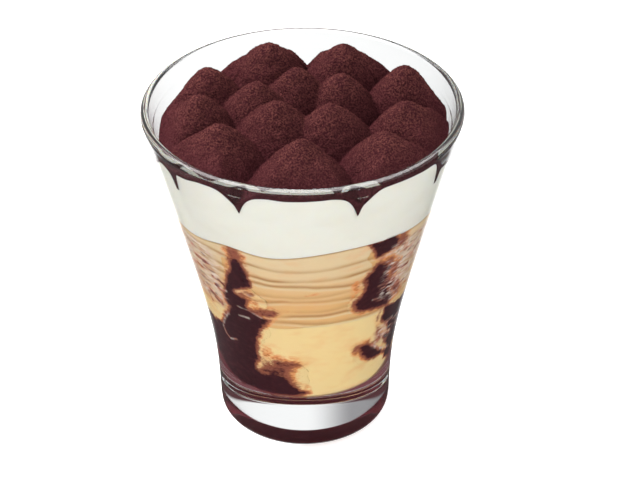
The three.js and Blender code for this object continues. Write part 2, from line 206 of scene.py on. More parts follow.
# Coffee in the fill, as outlines on the wall with points of place round the glass and height:
# outline, softness of its edge in millimetres, and strength
STAINS = (
    (
        (
            (-125.2, 60.4), (-121.4, 61.6), (-118.6, 59.7), (-116.8, 57.1), (-115.7, 54.4),
            (-116.3, 52.4), (-119.9, 51.1), (-125.7, 49.7), (-126.3, 48.6), (-123.6, 47.8),
            (-120.1, 47.8), (-120, 46.4), (-121.2, 44.8), (-117.4, 43.8), (-113.1, 42.7),
            (-107.6, 42.3), (-110.9, 40.2), (-114.5, 37.9), (-117.3, 35.1), (-118.9, 32.4),
            (-119.8, 29.8), (-119.1, 27.8), (-121.2, 25.8), (-122.7, 23.5), (-117.8, 22.5),
            (-111.8, 23.6), (-105.1, 23.2), (-100.5, 22.1), (-98, 20.1), (-93.4, 18.9), (-87.3, 17.5),
            (-96.2, 16.2), (-120.9, 15.4), (-145, 14.6), (-160, 14), (-178, 14), (-178, 33),
            (-164, 34.5), (-152.9, 34.3), (-145.5, 35.3), (-139, 38.9), (-133.4, 42.6),
            (-135.6, 43.8), (-135.1, 46.9), (-132.2, 50.6), (-129.1, 54), (-125.9, 57),
        ),
        1.3,
        1,
    ),
    (
        (
            (-126.2, 63.9), (-121.5, 65.6), (-117.2, 65.5), (-116, 61.7), (-116.8, 58.9),
            (-120.1, 58.3), (-125, 56.6), (-127.8, 56.6), (-126.6, 60.5),
        ),
        1.8,
        0.56,
    ),
    (
        (
            (-121.6, 45.5), (-115.6, 45.8), (-108.8, 46.4), (-102, 45.9), (-98.9, 45.8),
            (-102.8, 44.5), (-105.2, 42.9), (-111, 41.9), (-116.7, 42.5), (-121.8, 43.4),
        ),
        1.2,
        0.58,
    ),
    (
        (
            (-117, 51.7), (-115.2, 50.7), (-114.9, 48), (-118.8, 46.7), (-120.1, 47.8),
            (-125.4, 47.8), (-127.3, 49.1), (-123, 50.6),
        ),
        0.9,
        0.44,
    ),
    (
        (
            (-119.1, 61.1), (-116.3, 59), (-114.7, 55.9), (-113.8, 51.9), (-111.1, 48.2),
            (-106.7, 46.2), (-114.5, 45.6), (-120, 46.4), (-119.5, 51), (-118.4, 53.9),
            (-120.3, 57.6),
        ),
        1.6,
        0.3,
    ),
    (
        (
            (-123.6, 23), (-118.3, 25.9), (-110.7, 28.6), (-102.9, 28.9), (-94.8, 28.6),
            (-91.1, 27.5), (-95, 26.1), (-97.1, 23.9), (-95.3, 21.6), (-90, 19.2), (-94.8, 17.9),
            (-106.9, 19.6), (-116.5, 21.7),
        ),
        2.2,
        0.66,
    ),
    (
        (
            (-116.8, 32.7), (-111.6, 32.7), (-109.1, 30.2), (-110.4, 27.2), (-116.9, 25.7),
            (-120.7, 27.3),
        ),
        1.3,
        0.3,
    ),
    (
        (
            (-61.7, 65.8), (-58.4, 66.1), (-53.8, 66), (-51.3, 66.3), (-47.9, 66), (-44.3, 63.8),
            (-45.6, 61.6), (-48.8, 60.8), (-52.1, 60.7), (-56.4, 60.4), (-58, 62.1), (-59.7, 64.1),
        ),
        1.2,
        1,
    ),
    (
        (
            (-49.9, 65.6), (-45.6, 66), (-40, 65), (-36.2, 62.6), (-40, 60.9), (-44.7, 60),
            (-48.9, 61.2),
        ),
        1.2,
        0.52,
    ),
    (
        (
            (-64.7, 45.9), (-63.3, 47), (-60.9, 48.3), (-59.2, 50), (-59.3, 52.1), (-60.4, 53.6),
            (-58.7, 55), (-57.4, 56), (-55.7, 57.3), (-53.9, 58.2), (-49.5, 57.4), (-44.7, 55.5),
            (-42.1, 53.5), (-46.3, 53.7), (-44.1, 51.1), (-39.9, 48), (-42, 46.6), (-35.7, 43.6),
            (-37, 42), (-39.5, 40.7), (-45.4, 41.2), (-52.4, 42.5), (-57.6, 42.5), (-61.8, 44),
        ),
        1.8,
        1.05,
    ),
    (
        (
            (-56.7, 58.5), (-52.8, 59.6), (-46.4, 58.6), (-40.1, 55.8), (-37.1, 52.7), (-38.6, 50.6),
            (-32.5, 46.3), (-28.5, 42.2), (-35.1, 41.8), (-43.5, 46.7), (-46.7, 52.1), (-50.5, 57),
        ),
        1.8,
        0.62,
    ),
    (
        (
            (-67.8, 53.6), (-64.4, 54.4), (-60.2, 52.9), (-60.5, 50.6), (-62.8, 49), (-65, 47),
            (-67.9, 47.4), (-65.9, 50.2),
        ),
        1.2,
        0.32,
    ),
    (
        (
            (-40.9, 40.4), (-37.6, 40.5), (-30.9, 39.3), (-14, 38.6), (-4, 36), (-4, 24), (-20, 23.4),
            (-24.3, 22.9), (-32.8, 27.1), (-33.4, 29.2), (-27.8, 29.4), (-35.7, 33.4), (-41.1, 35.8),
            (-40.7, 37.7),
        ),
        0.9,
        1,
    ),
    (
        (
            (-46.2, 41.4), (-41.2, 40.8), (-42, 38.4), (-42.9, 35.9), (-30.9, 30.2), (-34.4, 29.1),
            (-34.9, 26.9), (-41.6, 28.2), (-45.4, 31.8), (-44.3, 34.2), (-47.5, 38.3),
        ),
        1.6,
        0.46,
    ),
    (
        (
            (-56.1, 29.9), (-52.5, 30.2), (-47.7, 29.9), (-41.1, 27.4), (-34.5, 24.9), (-23.6, 22.1),
            (-18.1, 21.6), (-18.4, 20), (-31.8, 22.6), (-38.5, 22.8), (-45.6, 23.7), (-51.7, 26.3),
        ),
        1.3,
        1.05,
    ),
    (
        (
            (-60.4, 29.9), (-57.3, 31.1), (-52.4, 31.5), (-46.4, 30.6), (-39.4, 27.7), (-45, 28),
            (-53.4, 28.7), (-54.4, 27.1), (-59.4, 28.7),
        ),
        1.8,
        0.6,
    ),
)

# Thin strokes of coffee and of cream drawn out along the wall: points, half width and strength
COFFEE_STROKES = (
    (((-151.2, 54.6), (-146.6, 54.8), (-141.2, 54.8)), 0.7, 0.62),
    (((-152.4, 51.7), (-147.9, 51.5)), 0.5, 0.55),
    (((-140.4, 50.8), (-136.2, 50.6), (-132.8, 49.5)), 0.6, 0.75),
    (((-140.3, 47.9), (-135.1, 46.9)), 0.6, 0.75),
    (((-148.1, 44.7), (-143.6, 43.7), (-139.3, 42.8)), 0.8, 0.5),
    (((-154.1, 44.9), (-150, 42.9), (-149.5, 40.4)), 0.8, 0.46),
    (((-144.4, 42.8), (-139.3, 41.9)), 0.5, 0.7),
    (((-38.5, 52.5), (-35, 52.1), (-30, 51.6)), 0.5, 0.8),
    (((-48.2, 63.2), (-44.1, 63.4)), 0.4, 0.6),
    (((-24.8, 44), (-15.7, 42.7)), 0.4, 0.5),
    (((-41.1, 58.4), (-35.4, 58.6)), 0.4, 0.5),
    (((-19.4, 46.7), (-16, 47.4)), 0.4, 0.5),
    (((-89.1, 51.6), (-83.3, 52.1)), 0.6, 0.28),
    (((-98.4, 45.8), (-92.2, 46)), 0.5, 0.2),
)
CREAM_STROKES = (
    (((-135.8, 40), (-141.9, 36.2), (-145.5, 33), (-144.2, 31), (-141.1, 30), (-135.1, 31.1)), 0.26, 0.62),
    (((-151.8, 53.2), (-162.4, 48.9), (-163.1, 46.8), (-156.4, 46.7)), 0.3, 0.8),
    (((-151.4, 57.1), (-140.9, 59), (-128.6, 61)), 0.4, 0.5),
    (((-141.8, 54.9), (-131, 56.2)), 0.4, 0.5),
    (((-138.4, 47.4), (-132.4, 47.9)), 0.28, 0.8),
    (((-140.7, 43.1), (-139.2, 40.9), (-136.1, 39.6)), 0.36, 0.8),
    (((-150.5, 39.5), (-145.4, 38.6), (-139.3, 38.5)), 0.3, 0.5),
    (((-127.2, 44), (-119.8, 43.7), (-113.2, 42.3)), 0.24, 0.45),
    (((-127.4, 40.9), (-121.5, 41)), 0.3, 0.6),
    (((-127.3, 49.1), (-121.6, 49.9), (-117.3, 49.3)), 0.4, 0.4),
    (((-54.5, 59.6), (-50, 59.9), (-43.2, 59.6), (-36, 59.4)), 0.3, 0.9),
    (((-52.5, 45.6), (-45.3, 44.8), (-35.6, 44.5)), 0.3, 0.45),
    (((-50.7, 49.8), (-43.8, 49.4)), 0.3, 0.4),
    (((-49, 54), (-44.2, 54.7)), 0.4, 0.4),
    (((-39.6, 47.6), (-33.6, 48.5), (-27.1, 49.7)), 0.5, 0.6),
    (((-38.9, 42.2), (-31.9, 42.6)), 0.4, 0.5),
    (((-38.3, 54.4), (-30.9, 55.3)), 0.4, 0.6),
    (((-40, 31.5), (-35, 31.3), (-29, 30.7)), 0.5, 0.55),
    (((-39, 28.6), (-34.4, 29.1)), 0.4, 0.5),
    (((-44.4, 28.5), (-36, 25.6), (-24.7, 23.3)), 0.4, 0.8),
)

# Where the fill is smeared in streaks: between which places round the glass and which heights
SMEARS = (
    (-178, -131, 40, 62),
    (-52, -12, 42, 63),
    (-46, -12, 26, 35),
    (20, 60, 33, 52),
    (72, 108, 44, 61),
    (118, 162, 30, 50),
)
SMEAR_FADE = 8  # degrees over which a smear's ends fade
SMEAR_FOOT, SMEAR_TOP = 4, 2  # millimetres over which its lower and upper edge fade

# Soaked sponge, each piece a cluster of lumps against the glass: place round the glass in degrees,
# height, half width along the wall, half height, and depth into the custard
SPONGES = {
    "sponge_left": (
        (-124, 56, 3.2, 7.4, 6),
        (-122, 46.5, 5.6, 6, 8),
        (-133, 36.5, 8.8, 8, 10),
        (-140, 25.5, 10.4, 9.2, 10),
    ),
    "sponge_front_foot": ((-107, 20, 6.8, 5.4, 7), (-98.5, 23.8, 4, 4.2, 6)),
    "sponge_right_upper": ((-50, 61, 6.2, 5.6, 8), (-50, 53.5, 6.8, 5.8, 8), (-54, 46.5, 6.2, 4.6, 7)),
    "sponge_right_lower": ((-33, 36.5, 4.4, 5.6, 7), (-24, 29.5, 4.2, 5.4, 7)),
    "sponge_right_small": ((-47, 26.8, 4.4, 3.0, 5),),
    "sponge_back_upper": ((92, 52, 7.4, 7.4, 9),),
    "sponge_back_left": ((146, 41, 6, 8, 8), (133, 27, 6.8, 8, 8)),
    "sponge_back_right": ((42, 36, 5.4, 6, 8), (53, 27, 6.4, 6.6, 8)),
}
BACK_SPONGES = ("sponge_back_upper", "sponge_back_left", "sponge_back_right")
BALL_DETAIL = 4
LUMP_INSET = 0.35
LUMP_WAVES = (4.1, 5.3, 4.7)
LUMP_RELIEF = 0.09
CRUMB_DEPTH = 0.9
FINE_CRUMB_DEPTH = 0.45
LUMP_AT_WALL = 0.93  # share of a lump's half width and height that shows at the wall
SPONGE_LAP = 0.1  # how far the sponge may reach over the cream's lower edge
LUMP_RAGGED = 0.5  # how far a lump's own edge wanders at the wall, as a share of its size
STAIN_RAGGED = 1.6  # millimetres that a stain's edge wanders beside and behind the front
SMEAR_RAGGED = 11  # degrees that the end of a smear wanders there

# The fill's soaked foot: strength, height above the floor and softness of its upper edge, in
# front, with what is added beside the front and behind. Beside and behind run between two sines
# of the angle round +Z.
BESIDE = (-0.7, -0.15)
BEHIND = (0.1, 0.6)
RAGGED_SIDE = (-0.7, -0.4)
SOAKED_STRENGTH = (0.72, 0.28)
SOAKED_TOP = (0.9, 3.1, 8.0)
SOAKED_SOFTNESS = (0.7, 2.3, -2.2)
SOAKED_WANDER = 0.8
SOAKED_BACK_RISE, SOAKED_BACK_WANDER = 1, 4
SIDE_DEPTH = 1  # how deep under the wall the folds' colours reach

# The stage: lamps in metres from the middle of the foot, and edges in what gloss shows of the floor
KEY_PLACE, KEY_SIZE = (-0.45, 0.3, 0.6), 0.2
FILL_PLACE, FILL_SIZE = (0.1, -0.9, 0.12), 0.6
FLOOR_HALF = 3.0
FLOOR_DROP = 0.00002
GLOSS_BACK = (-0.02, 0.018)
GLOSS_EDGE = (0.012, 0.026)
GLOSS_SLANT = 0.35
PANEL_EDGE = (0.6, 0.75)  # heights on the sky between which the panel overhead starts
BAND_SLANT = 0.6
BAND_FADE = 0.15
SHADE_EDGE = 0.4
CONTACT_FADE = 0.75  # share of the contact's reach where it starts to fade
SENSOR_WIDTH = 36.0
NEAREST = 0.01
BLACK = (0.0, 0.0, 0.0)
WHITE = (1.0, 1.0, 1.0)


# ---------------------------------------------------------------- settings


def length(name, description, millimetres):
    """A size that a user can change, kept in metres."""
    return FloatProperty(
        name=name, description=description, default=millimetres * MM, unit="LENGTH", precision=5
    )


def amount(name, description, value, **limits):
    """A plain number that a user can change."""
    return FloatProperty(name=name, description=description, default=value, **limits)


def color(name, description, red, green, blue):
    """A colour given by its screen values from 0 to 255."""
    return FloatVectorProperty(
        name=name,
        description=description,
        subtype="COLOR",
        size=3,
        min=0.0,
        max=1.0,
        default=[to_linear(value / 255) for value in (red, green, blue)],
    )


def to_linear(value):
    """A screen value from 0 to 1 as an amount of light."""
    return value / 12.92 if value <= 0.04045 else ((value + 0.055) / 1.055) ** 2.4


class GlassSettings(bpy.types.PropertyGroup):
    """Sizes and finish of the tumbler."""

    height: length("Height", "Height of the rim above the foot", GLASS_HIGH.z / MM)
    rim_radius: length("Rim radius", "Outside radius at the lip", GLASS_HIGH.x / MM)
    lip_radius: length("Lip radius", "Half the thickness of the rounded lip", 1.05)
    foot_radius: length("Foot radius", "Radius that the foot would have with no flare", 20.6)
    heel_radius: length("Heel radius", "Rounding between the foot and the wall", 3.6)
    flare_start: length("Flare start", "Height where the wall starts to lean out", 22.3)
    flare_blend: length("Flare blend", "Softness of the bend where the flare starts", 4.1)
    base_thickness: length("Base thickness", "Thickness of the solid clear foot", 15.0)
    wall_at_base: length("Wall at the base", "Thickness of the wall above the foot", 2.9)
    corner_radius: length("Corner radius", "Rounding inside, between the floor and the wall", 3.6)
    punt: length("Punt", "Height of the shallow hollow under the foot", 1.2)
    ring_level: length("Ring level", "Height of the faint moulded ring inside, under the lip", 82.6)
    ring_depth: length("Ring depth", "Depth of that ring", 0.08)
    punt_start: length("Punt start", "Radius where the hollow starts to come down", 9.0)
    ripple: length("Ripple", "Unevenness of the outside, as pressed glass has", 0.012)
    ior: amount("Index of refraction", "How strongly the glass bends light", 1.5, min=1.0, max=2.0)
    sides: IntProperty(name="Sides", description="Facets round the glass", default=240, min=24)


class PipingSettings(bpy.types.PropertyGroup):
    """The piped cream and the cocoa on it."""

    tip_rounding: length("Tip rounding", "Radius of the peaks' tips", 1.8)
    crease_blend: length("Crease blend", "Softness of the creases between the peaks", 0.35)
    unevenness: length("Unevenness", "Slow wobble of the piped surface", 0.35)
    coat_depth: length("Coat depth", "Thickness of the cocoa on the cream", 1.0)
    rim_depth: length("Coat depth at the wall", "Thickness of the cocoa where it meets the glass", 0.7)
    clump_relief: length("Clump relief", "Height of the small clumps in the cocoa", 0.16)
    grain_relief: length("Grain relief", "Height of the finest grain in the cocoa", 0.07)
    cells: IntProperty(name="Cells", description="Cells across the cocoa's grid", default=260, min=40)
    sheen: amount("Sheen", "Strength of the dusty sheen at the peaks' edges", 0.05, min=0.0, max=1.0)
    sheen_tint: color("Sheen tint", "Colour of the dusty sheen", 170, 112, 88)
    # Painted light and shade: the lighter grains on the crests and the darker grains lower down stand in
    # for light on the peaks' tips and shade in the creases between them.
    cocoa_crest_highlight: color("Cocoa, light", "Colour of the dry grains on the crests", 106, 61, 57)
    cocoa_valley_shade: color("Cocoa, low", "Colour of the grains lower down", 82, 43, 48)
    cocoa_mid: color("Cocoa, between", "Colour between the grains on the crests", 58, 27, 32)
    cocoa_dark: color("Cocoa, dark", "Colour between the grains in the valleys", 63, 28, 32)
    cream: color("Cream", "Colour of the whipped mascarpone cream", 236, 234, 224)
    cream_shade: color("Cream, shaded", "Colour of its denser streaks", 230, 226, 213)


class FillSettings(bpy.types.PropertyGroup):
    """Custard and soaked sponge under the cream."""

    contact: length("Contact", "How far the fill presses into the inside of the wall", 0.45)
    sponge_proud: length("Sponge proud", "How far sponge stands out over the custard", 0.12)
    fold_depth: length("Fold depth", "Depth of the folds in the custard", 0.36)
    voxel: length("Voxel", "Cell size of the sponge's crumb", 0.28)
    sides: IntProperty(name="Sides", description="Facets round a layer", default=800, min=48)
    rows: IntProperty(name="Rows", description="Rows up the side of a layer", default=92, min=8)
    wisp: color("Wisp", "Cream smeared over the sponge", 244, 228, 214)
    pale: color("Pale custard", "Custard right under the cream", 231, 206, 164)
    folded: color("Folded custard", "Custard between the folds", 230, 184, 124)
    golden: color("Golden custard", "Smooth custard lower down", 245, 217, 157)
    # Painted shade down in the folds; the same colour darkens the furrows in the smears.
    fold_shade: color("Fold shade", "Colour down in a fold", 190, 142, 92)
    amber: color("Amber", "Custard with a little coffee", 234, 152, 90)
    stain: color("Stain", "Custard soaked with coffee", 156, 88, 66)
    sponge_dark: color("Sponge, dark", "Sponge full of coffee", 60, 13, 25)
    sponge_light: color("Sponge, light", "Drier crumb and smeared edges", 96, 40, 44)
    veil: color("Veil", "Custard thinned by cream where it is smeared", 224, 204, 184)
    blush: color("Blush", "Cream that has taken up some coffee", 212, 140, 120)
    mauve: color("Mauve", "Coffee smeared into the custard", 118, 70, 76)
    soaked_floor: color("Soaked floor", "Underside of the fill, where the coffee has run down", 112, 44, 54)


class GrainSettings(bpy.types.PropertyGroup):
    """Loose cocoa grains on the coat."""

    spacing: length("Spacing", "Least distance between two grains", 0.62)
    smallest: length("Smallest", "Radius of the smallest grain", 0.07)
    largest: length("Largest", "Radius of the largest grain", 0.2)
    seed: IntProperty(name="Seed", description="Start of the random draw", default=7)


class StageSettings(bpy.types.PropertyGroup):
    """Floor, light and camera."""

    floor_color: color("Floor", "Colour of the floor", 250, 250, 250)
    sky: amount("Sky", "Strength of the light all round", 1.0, min=0.0)
    clear: amount("Clear", "Strength of the light all round, as the glass shows it", 1.04, min=0.0)
    lift: amount("Lift", "Light that the floor adds of its own", 0.5, min=0.0)
    zenith: amount("Zenith", "Strength of the panel overhead, as gloss shows it", 7.0, min=0.0)
    band_top: amount("Band top", "Height of the dark band low behind the glass", 0.28, min=0.0, max=1.0)
    band_color: color("Band", "Colour of the dark band low behind the glass", 88, 52, 56)
    bounce: amount("Bounce", "Share of the floor's colour that lights the object", 0.9, min=0.0, max=1.0)
    contact_reach: length("Contact reach", "How far the floor round the foot is dark through glass", 60.0)
    contact_glow: color("Contact glow", "What the floor there adds of its own", 70, 40, 44)
    shade: amount("Shade", "Strength of the shade to the right", 0.85, min=0.0, max=1.0)
    shade_color: color("Shade colour", "Colour of the shade to the right", 130, 128, 132)
    reflected: amount("Reflected", "Share of the floor in front that gloss shows", 0.05, min=0.0, max=1.0)
    behind: amount("Behind", "Share of the floor behind the glass that gloss shows", 0.8, min=0.0, max=1.0)
    dimmed: amount("Dimmed", "Share of the floor's colour that shows through glass", 0.58, min=0.0, max=1.0)
    edge_line: amount("Edge line", "Share of it that the glass's very edge shows", 0.55, min=0.0, max=1.0)
    key: amount("Key", "Power of the soft light from the back left, in watts", 7.5, min=0.0)
    fill: amount("Fill", "Power of the soft light low in front, in watts", 2.2, min=0.0)
    distance: length("Distance", "From the camera to the middle of the glass", 570.0)
    elevation: FloatProperty(
        name="Elevation",
        description="How far the camera looks down",
        default=34.27 * DEGREE,
        subtype="ANGLE",
    )
    roll: FloatProperty(
        name="Roll", description="Tilt of the camera", default=-0.54 * DEGREE, subtype="ANGLE"
    )
    lens: amount("Lens", "Focal length in millimetres on a 36 mm sensor", 131.3, min=10.0)
    shift: FloatVectorProperty(
        name="Shift",
        description="Shift of the frame, as a share of its width",
        size=2,
        default=(0.0253, 0.0270),
    )


# ---------------------------------------------------------------- shared forms


def lattice_noise(points, seed):
    """Smooth noise from -1 to 1 at each point, with one cell to a unit."""
    cells = np.floor(points).astype(np.int64)
    part = points - cells
    fade = part * part * (3 - 2 * part)
    total = np.zeros(len(points))
    for corner in itertools.product((0, 1), repeat=3):
        x, y, z = (cells + corner).T
        key = (x * 73856093 ^ y * 19349663 ^ z * 83492791 ^ seed * 2654435761) & 0xFFFFFFFF
        key = ((key ^ (key >> 13)) * 1274126177) & 0xFFFFFFFF
        key = key ^ (key >> 16)
        weight = np.prod(np.where(np.array(corner) == 1, fade, 1 - fade), axis=1)
        total += weight * (key / 0x7FFFFFFF - 1)
    return total


def fractal_noise(points, size, octaves, seed, shift=0):
    """Noise with lumps up to size across, each octave half as large and half as strong."""
    total = np.zeros(len(points))
    for octave in range(octaves):
        total += lattice_noise(points * (2**octave / size), seed + shift + octave) / 2**octave
    return total


def smoothstep(value, low, high):
    """0 below low, 1 above high, and a soft step between them."""
    t = np.clip((value - low) / (high - low), 0, 1)
    return t * t * (3 - 2 * t)


def half_turn(degrees):
    """The same turn as an angle from -180 to 180 degrees."""
    return (degrees + 180) % 360 - 180


class GlassForm:
    """The tumbler's outside and inside, as radii by height, in millimetres."""

    def __init__(self, settings):
        self.height = settings.height / MM
        self.rim = settings.rim_radius / MM
        self.lip = settings.lip_radius / MM
        self.foot = settings.foot_radius / MM
        self.heel = settings.heel_radius / MM
        self.flare_start = settings.flare_start / MM
        self.flare_blend = settings.flare_blend / MM
        self.base = settings.base_thickness / MM
        self.wall_at_base = settings.wall_at_base / MM
        self.corner = settings.corner_radius / MM
        self.punt = settings.punt / MM
        self.punt_start = settings.punt_start / MM
        self.ripple = settings.ripple / MM
        self.ring_level = settings.ring_level / MM
        self.ring_depth = settings.ring_depth / MM
        self.lip_centre = self.height - self.lip
        self.corner_top = self.base + self.corner

    def flare(self, z):
        """Radius of the straight foot that bends softly into the leaning wall."""
        slope = (self.rim - self.foot) / (self.lip_centre - self.flare_start)
        line = self.foot + slope * (z - self.flare_start)
        return (self.foot + line + np.hypot(line - self.foot, self.flare_blend)) / 2

    def outer(self, z):
        """Outside radius."""
        return self.flare(z) * self.rim / self.flare(self.lip_centre)

    def wall(self, z):
        """Inside radius of the wall, which thins towards the lip."""
        up = (z - self.base) / (self.lip_centre - self.base)
        return self.outer(z) - (self.wall_at_base + (2 * self.lip - self.wall_at_base) * up)

    def inner(self, z):
        """Inside radius, with the rounded corner above the floor."""
        z = np.asarray(z, float)
        down = np.clip(self.corner_top - z, 0, self.corner)
        rounding = self.corner - np.sqrt(self.corner**2 - down**2)
        return self.wall(np.maximum(z, self.corner_top)) - rounding


class PipedForm:
    """The piped surface: its height over a point of the plan, in millimetres."""

    def __init__(self, settings):
        self.tip_rounding = settings.tip_rounding / MM
        self.blend = settings.crease_blend / MM
        self.unevenness = settings.unevenness / MM

    def drop(self, peak, pressed, x, y):
        """How far the surface lies under the peak's tip."""
        _, azimuth, reach, width = peak
        out_x, out_y = math.cos(azimuth * DEGREE), math.sin(azimuth * DEGREE)
        dx = (x - reach * out_x) / width
        dy = (y - reach * out_y) / width
        distance = np.hypot(dx, dy)
        if pressed:
            outward = dx * out_x + dy * out_y
            along = SIDE_EASING * (dy * out_x - dx * out_y)
            steep = outward * (WALL_STEEPNESS + BACK_STEEPENING * out_y)
            square = (np.abs(steep) ** SQUARENESS + np.abs(along) ** SQUARENESS) ** (1 / SQUARENESS)
            press = smoothstep(distance, PRESS_START, PRESS_END) * (outward > 0)
            distance = distance + (square - distance) * press
        cone = np.hypot(distance, self.tip_rounding) - self.tip_rounding
        return cone + PEAK_SWELL * (1 + BACK_SWELL * out_y) * distance**3

    def crest(self, x, y):
        """1 on the peaks' tips and 0 in the creases between them, for the cocoa's painted light on the
        crests and painted shade in the creases.
        """
        drops = [self.drop(peak, True, x, y) for peak in OUTER_PEAKS]
        drops += [self.drop(peak, False, x, y) for peak in INNER_PEAKS]
        return 1 - smoothstep(np.min(drops, axis=0), *CREST_LIGHT_DROPS)

    def height(self, x, y):
        """Height of the piped surface."""
        peaks = [(peak, True) for peak in OUTER_PEAKS] + [(peak, False) for peak in INNER_PEAKS]
        heights = np.stack([peak[0] - self.drop(peak, pressed, x, y) for peak, pressed in peaks])
        top = heights.max(axis=0)
        soft = top + self.blend * np.log(np.exp((heights - top) / self.blend).sum(axis=0))
        plan = np.stack([x, y, np.zeros_like(x)], axis=-1).reshape(-1, 3)
        wobble = fractal_noise(plan, *WOBBLE).reshape(np.shape(x))
        return soft + self.unevenness * wobble + self.squeezed(x, y)

    def squeezed(self, x, y):
        """How far the cream is pushed up beside the wall."""
        place = np.degrees(np.arctan2(y, x))
        near = smoothstep(np.hypot(x, y), *SQUEEZE_RADII)
        return sum(
            high * np.exp(-((half_turn(place - middle) / wide) ** 2)) * near
            for middle, wide, high in SQUEEZES
        )


def edge_radius(height, glass, reach, angles):
    """Where a surface meets a line standing in the wall, for each angle."""
    low = np.full(angles.shape, EDGE_SEARCH)
    high = np.full(angles.shape, glass.rim + EDGE_BEYOND)
    for _ in range(EDGE_STEPS):
        middle = (low + high) / 2
        beyond = middle > glass.inner(height(middle * np.cos(angles), middle * np.sin(angles))) + reach
        high = np.where(beyond, middle, high)
        low = np.where(beyond, low, middle)
    return low


def ring_angles(count):
    """Even angles round a ring."""
    return np.arange(count) * (math.tau / count)


def cream_line(angles):
    """Height of the cream's lower edge, by the angle round +Z from +X."""
    front = angles + math.pi / 2
    wave = CREAM_WAVE * np.cos(CREAM_WAVES * (front - CREAM_CREST * DEGREE))
    ripple = CREAM_RIPPLE * np.sin(CREAM_RIPPLES * front)
    apart = half_turn(angles / DEGREE - CREAM_RISE_PLACE)
    rise = CREAM_RISE * np.exp(-((apart / CREAM_RISE_WIDTH) ** 2))
    return CREAM_LEVEL + wave + ripple + rise


def fold_line(angles):
    """Height where the smooth custard ends and the folded custard starts."""
    front = angles + math.pi / 2
    wave = FOLD_WAVE * np.sin(FOLD_WAVES * front + FOLD_PHASE)
    return FOLD_LEVEL + wave + FOLD_RIPPLE * np.sin(FOLD_RIPPLES * front)


def add_values(mesh, attributes):
    """Named values at a mesh's points, for its material to read."""
    for key, values in attributes.items():
        layer = mesh.attributes.new(key, "FLOAT", "POINT")
        layer.data.foreach_set("value", np.asarray(values, np.float32))


def make_mesh(name, vertices, faces, attributes=None):
    """A mesh from points in millimetres, with named values at its points."""
    mesh = bpy.data.meshes.new(name)
    mesh.from_pydata((np.asarray(vertices) * MM).tolist(), [], faces)
    add_values(mesh, attributes or {})
    mesh.shade_smooth()
    mesh.update()
    return mesh


def make_piece(name, mesh, material, slot, *nodes):
    """A finished piece of the object that stands for these nodes."""
    piece = bpy.data.objects.new(name, mesh)
    bpy.context.scene.collection.objects.link(piece)
    piece.data.materials.clear()
    piece.data.materials.append(material)
    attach(piece, "root")
    if nodes:
        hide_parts(*nodes)
    return piece


def ring_quads(start, count, rows):
    """Faces of a wall of rows of points, each row a closed ring that runs anticlockwise."""
    lower = start + np.arange(rows - 1)[:, None] * count + np.arange(count)
    step = np.roll(np.arange(count), -1) - np.arange(count)
    right = lower + step
    return np.stack([lower, right, right + count, lower + count], -1).reshape(-1, 4).tolist()


def wall_quads(border, start, rows):
    """Faces down a wall from a border, with rows of new points from start, and the last row."""
    count = len(border)
    lines = [border] + [start + np.arange(row * count, (row + 1) * count) for row in range(rows)]
    faces = []
    for above, below in zip(lines, lines[1:]):
        faces += np.stack([below, np.roll(below, -1), np.roll(above, -1), above], -1).tolist()
    return faces, lines[-1]


def disc_grid(cells):
    """A square grid bent into a disc: its points, its faces and its border, anticlockwise."""
    line = np.linspace(-1, 1, cells + 1)
    u, v = np.meshgrid(line, line)
    x = u * np.sqrt(1 - v * v / 2)
    y = v * np.sqrt(1 - u * u / 2)
    index = np.arange((cells + 1) ** 2).reshape(cells + 1, cells + 1)
    quads = np.stack([index[:-1, :-1], index[:-1, 1:], index[1:, 1:], index[1:, :-1]], -1)
    border = np.concatenate(
        [index[0, :-1], index[:-1, -1], index[-1, :0:-1], index[:0:-1, 0]]
    )
    return np.stack([x.ravel(), y.ravel()], -1), quads.reshape(-1, 4), border


def surface_normals(height, x, y):
    """Unit normals of a height field."""
    step = NORMAL_STEP
    slope_x = (height(x + step, y) - height(x - step, y)) / (2 * step)
    slope_y = (height(x, y + step) - height(x, y - step)) / (2 * step)
    normals = np.stack([-slope_x, -slope_y, np.ones_like(x)], -1)
    return normals / np.linalg.norm(normals, axis=1, keepdims=True)


# ---------------------------------------------------------------- materials


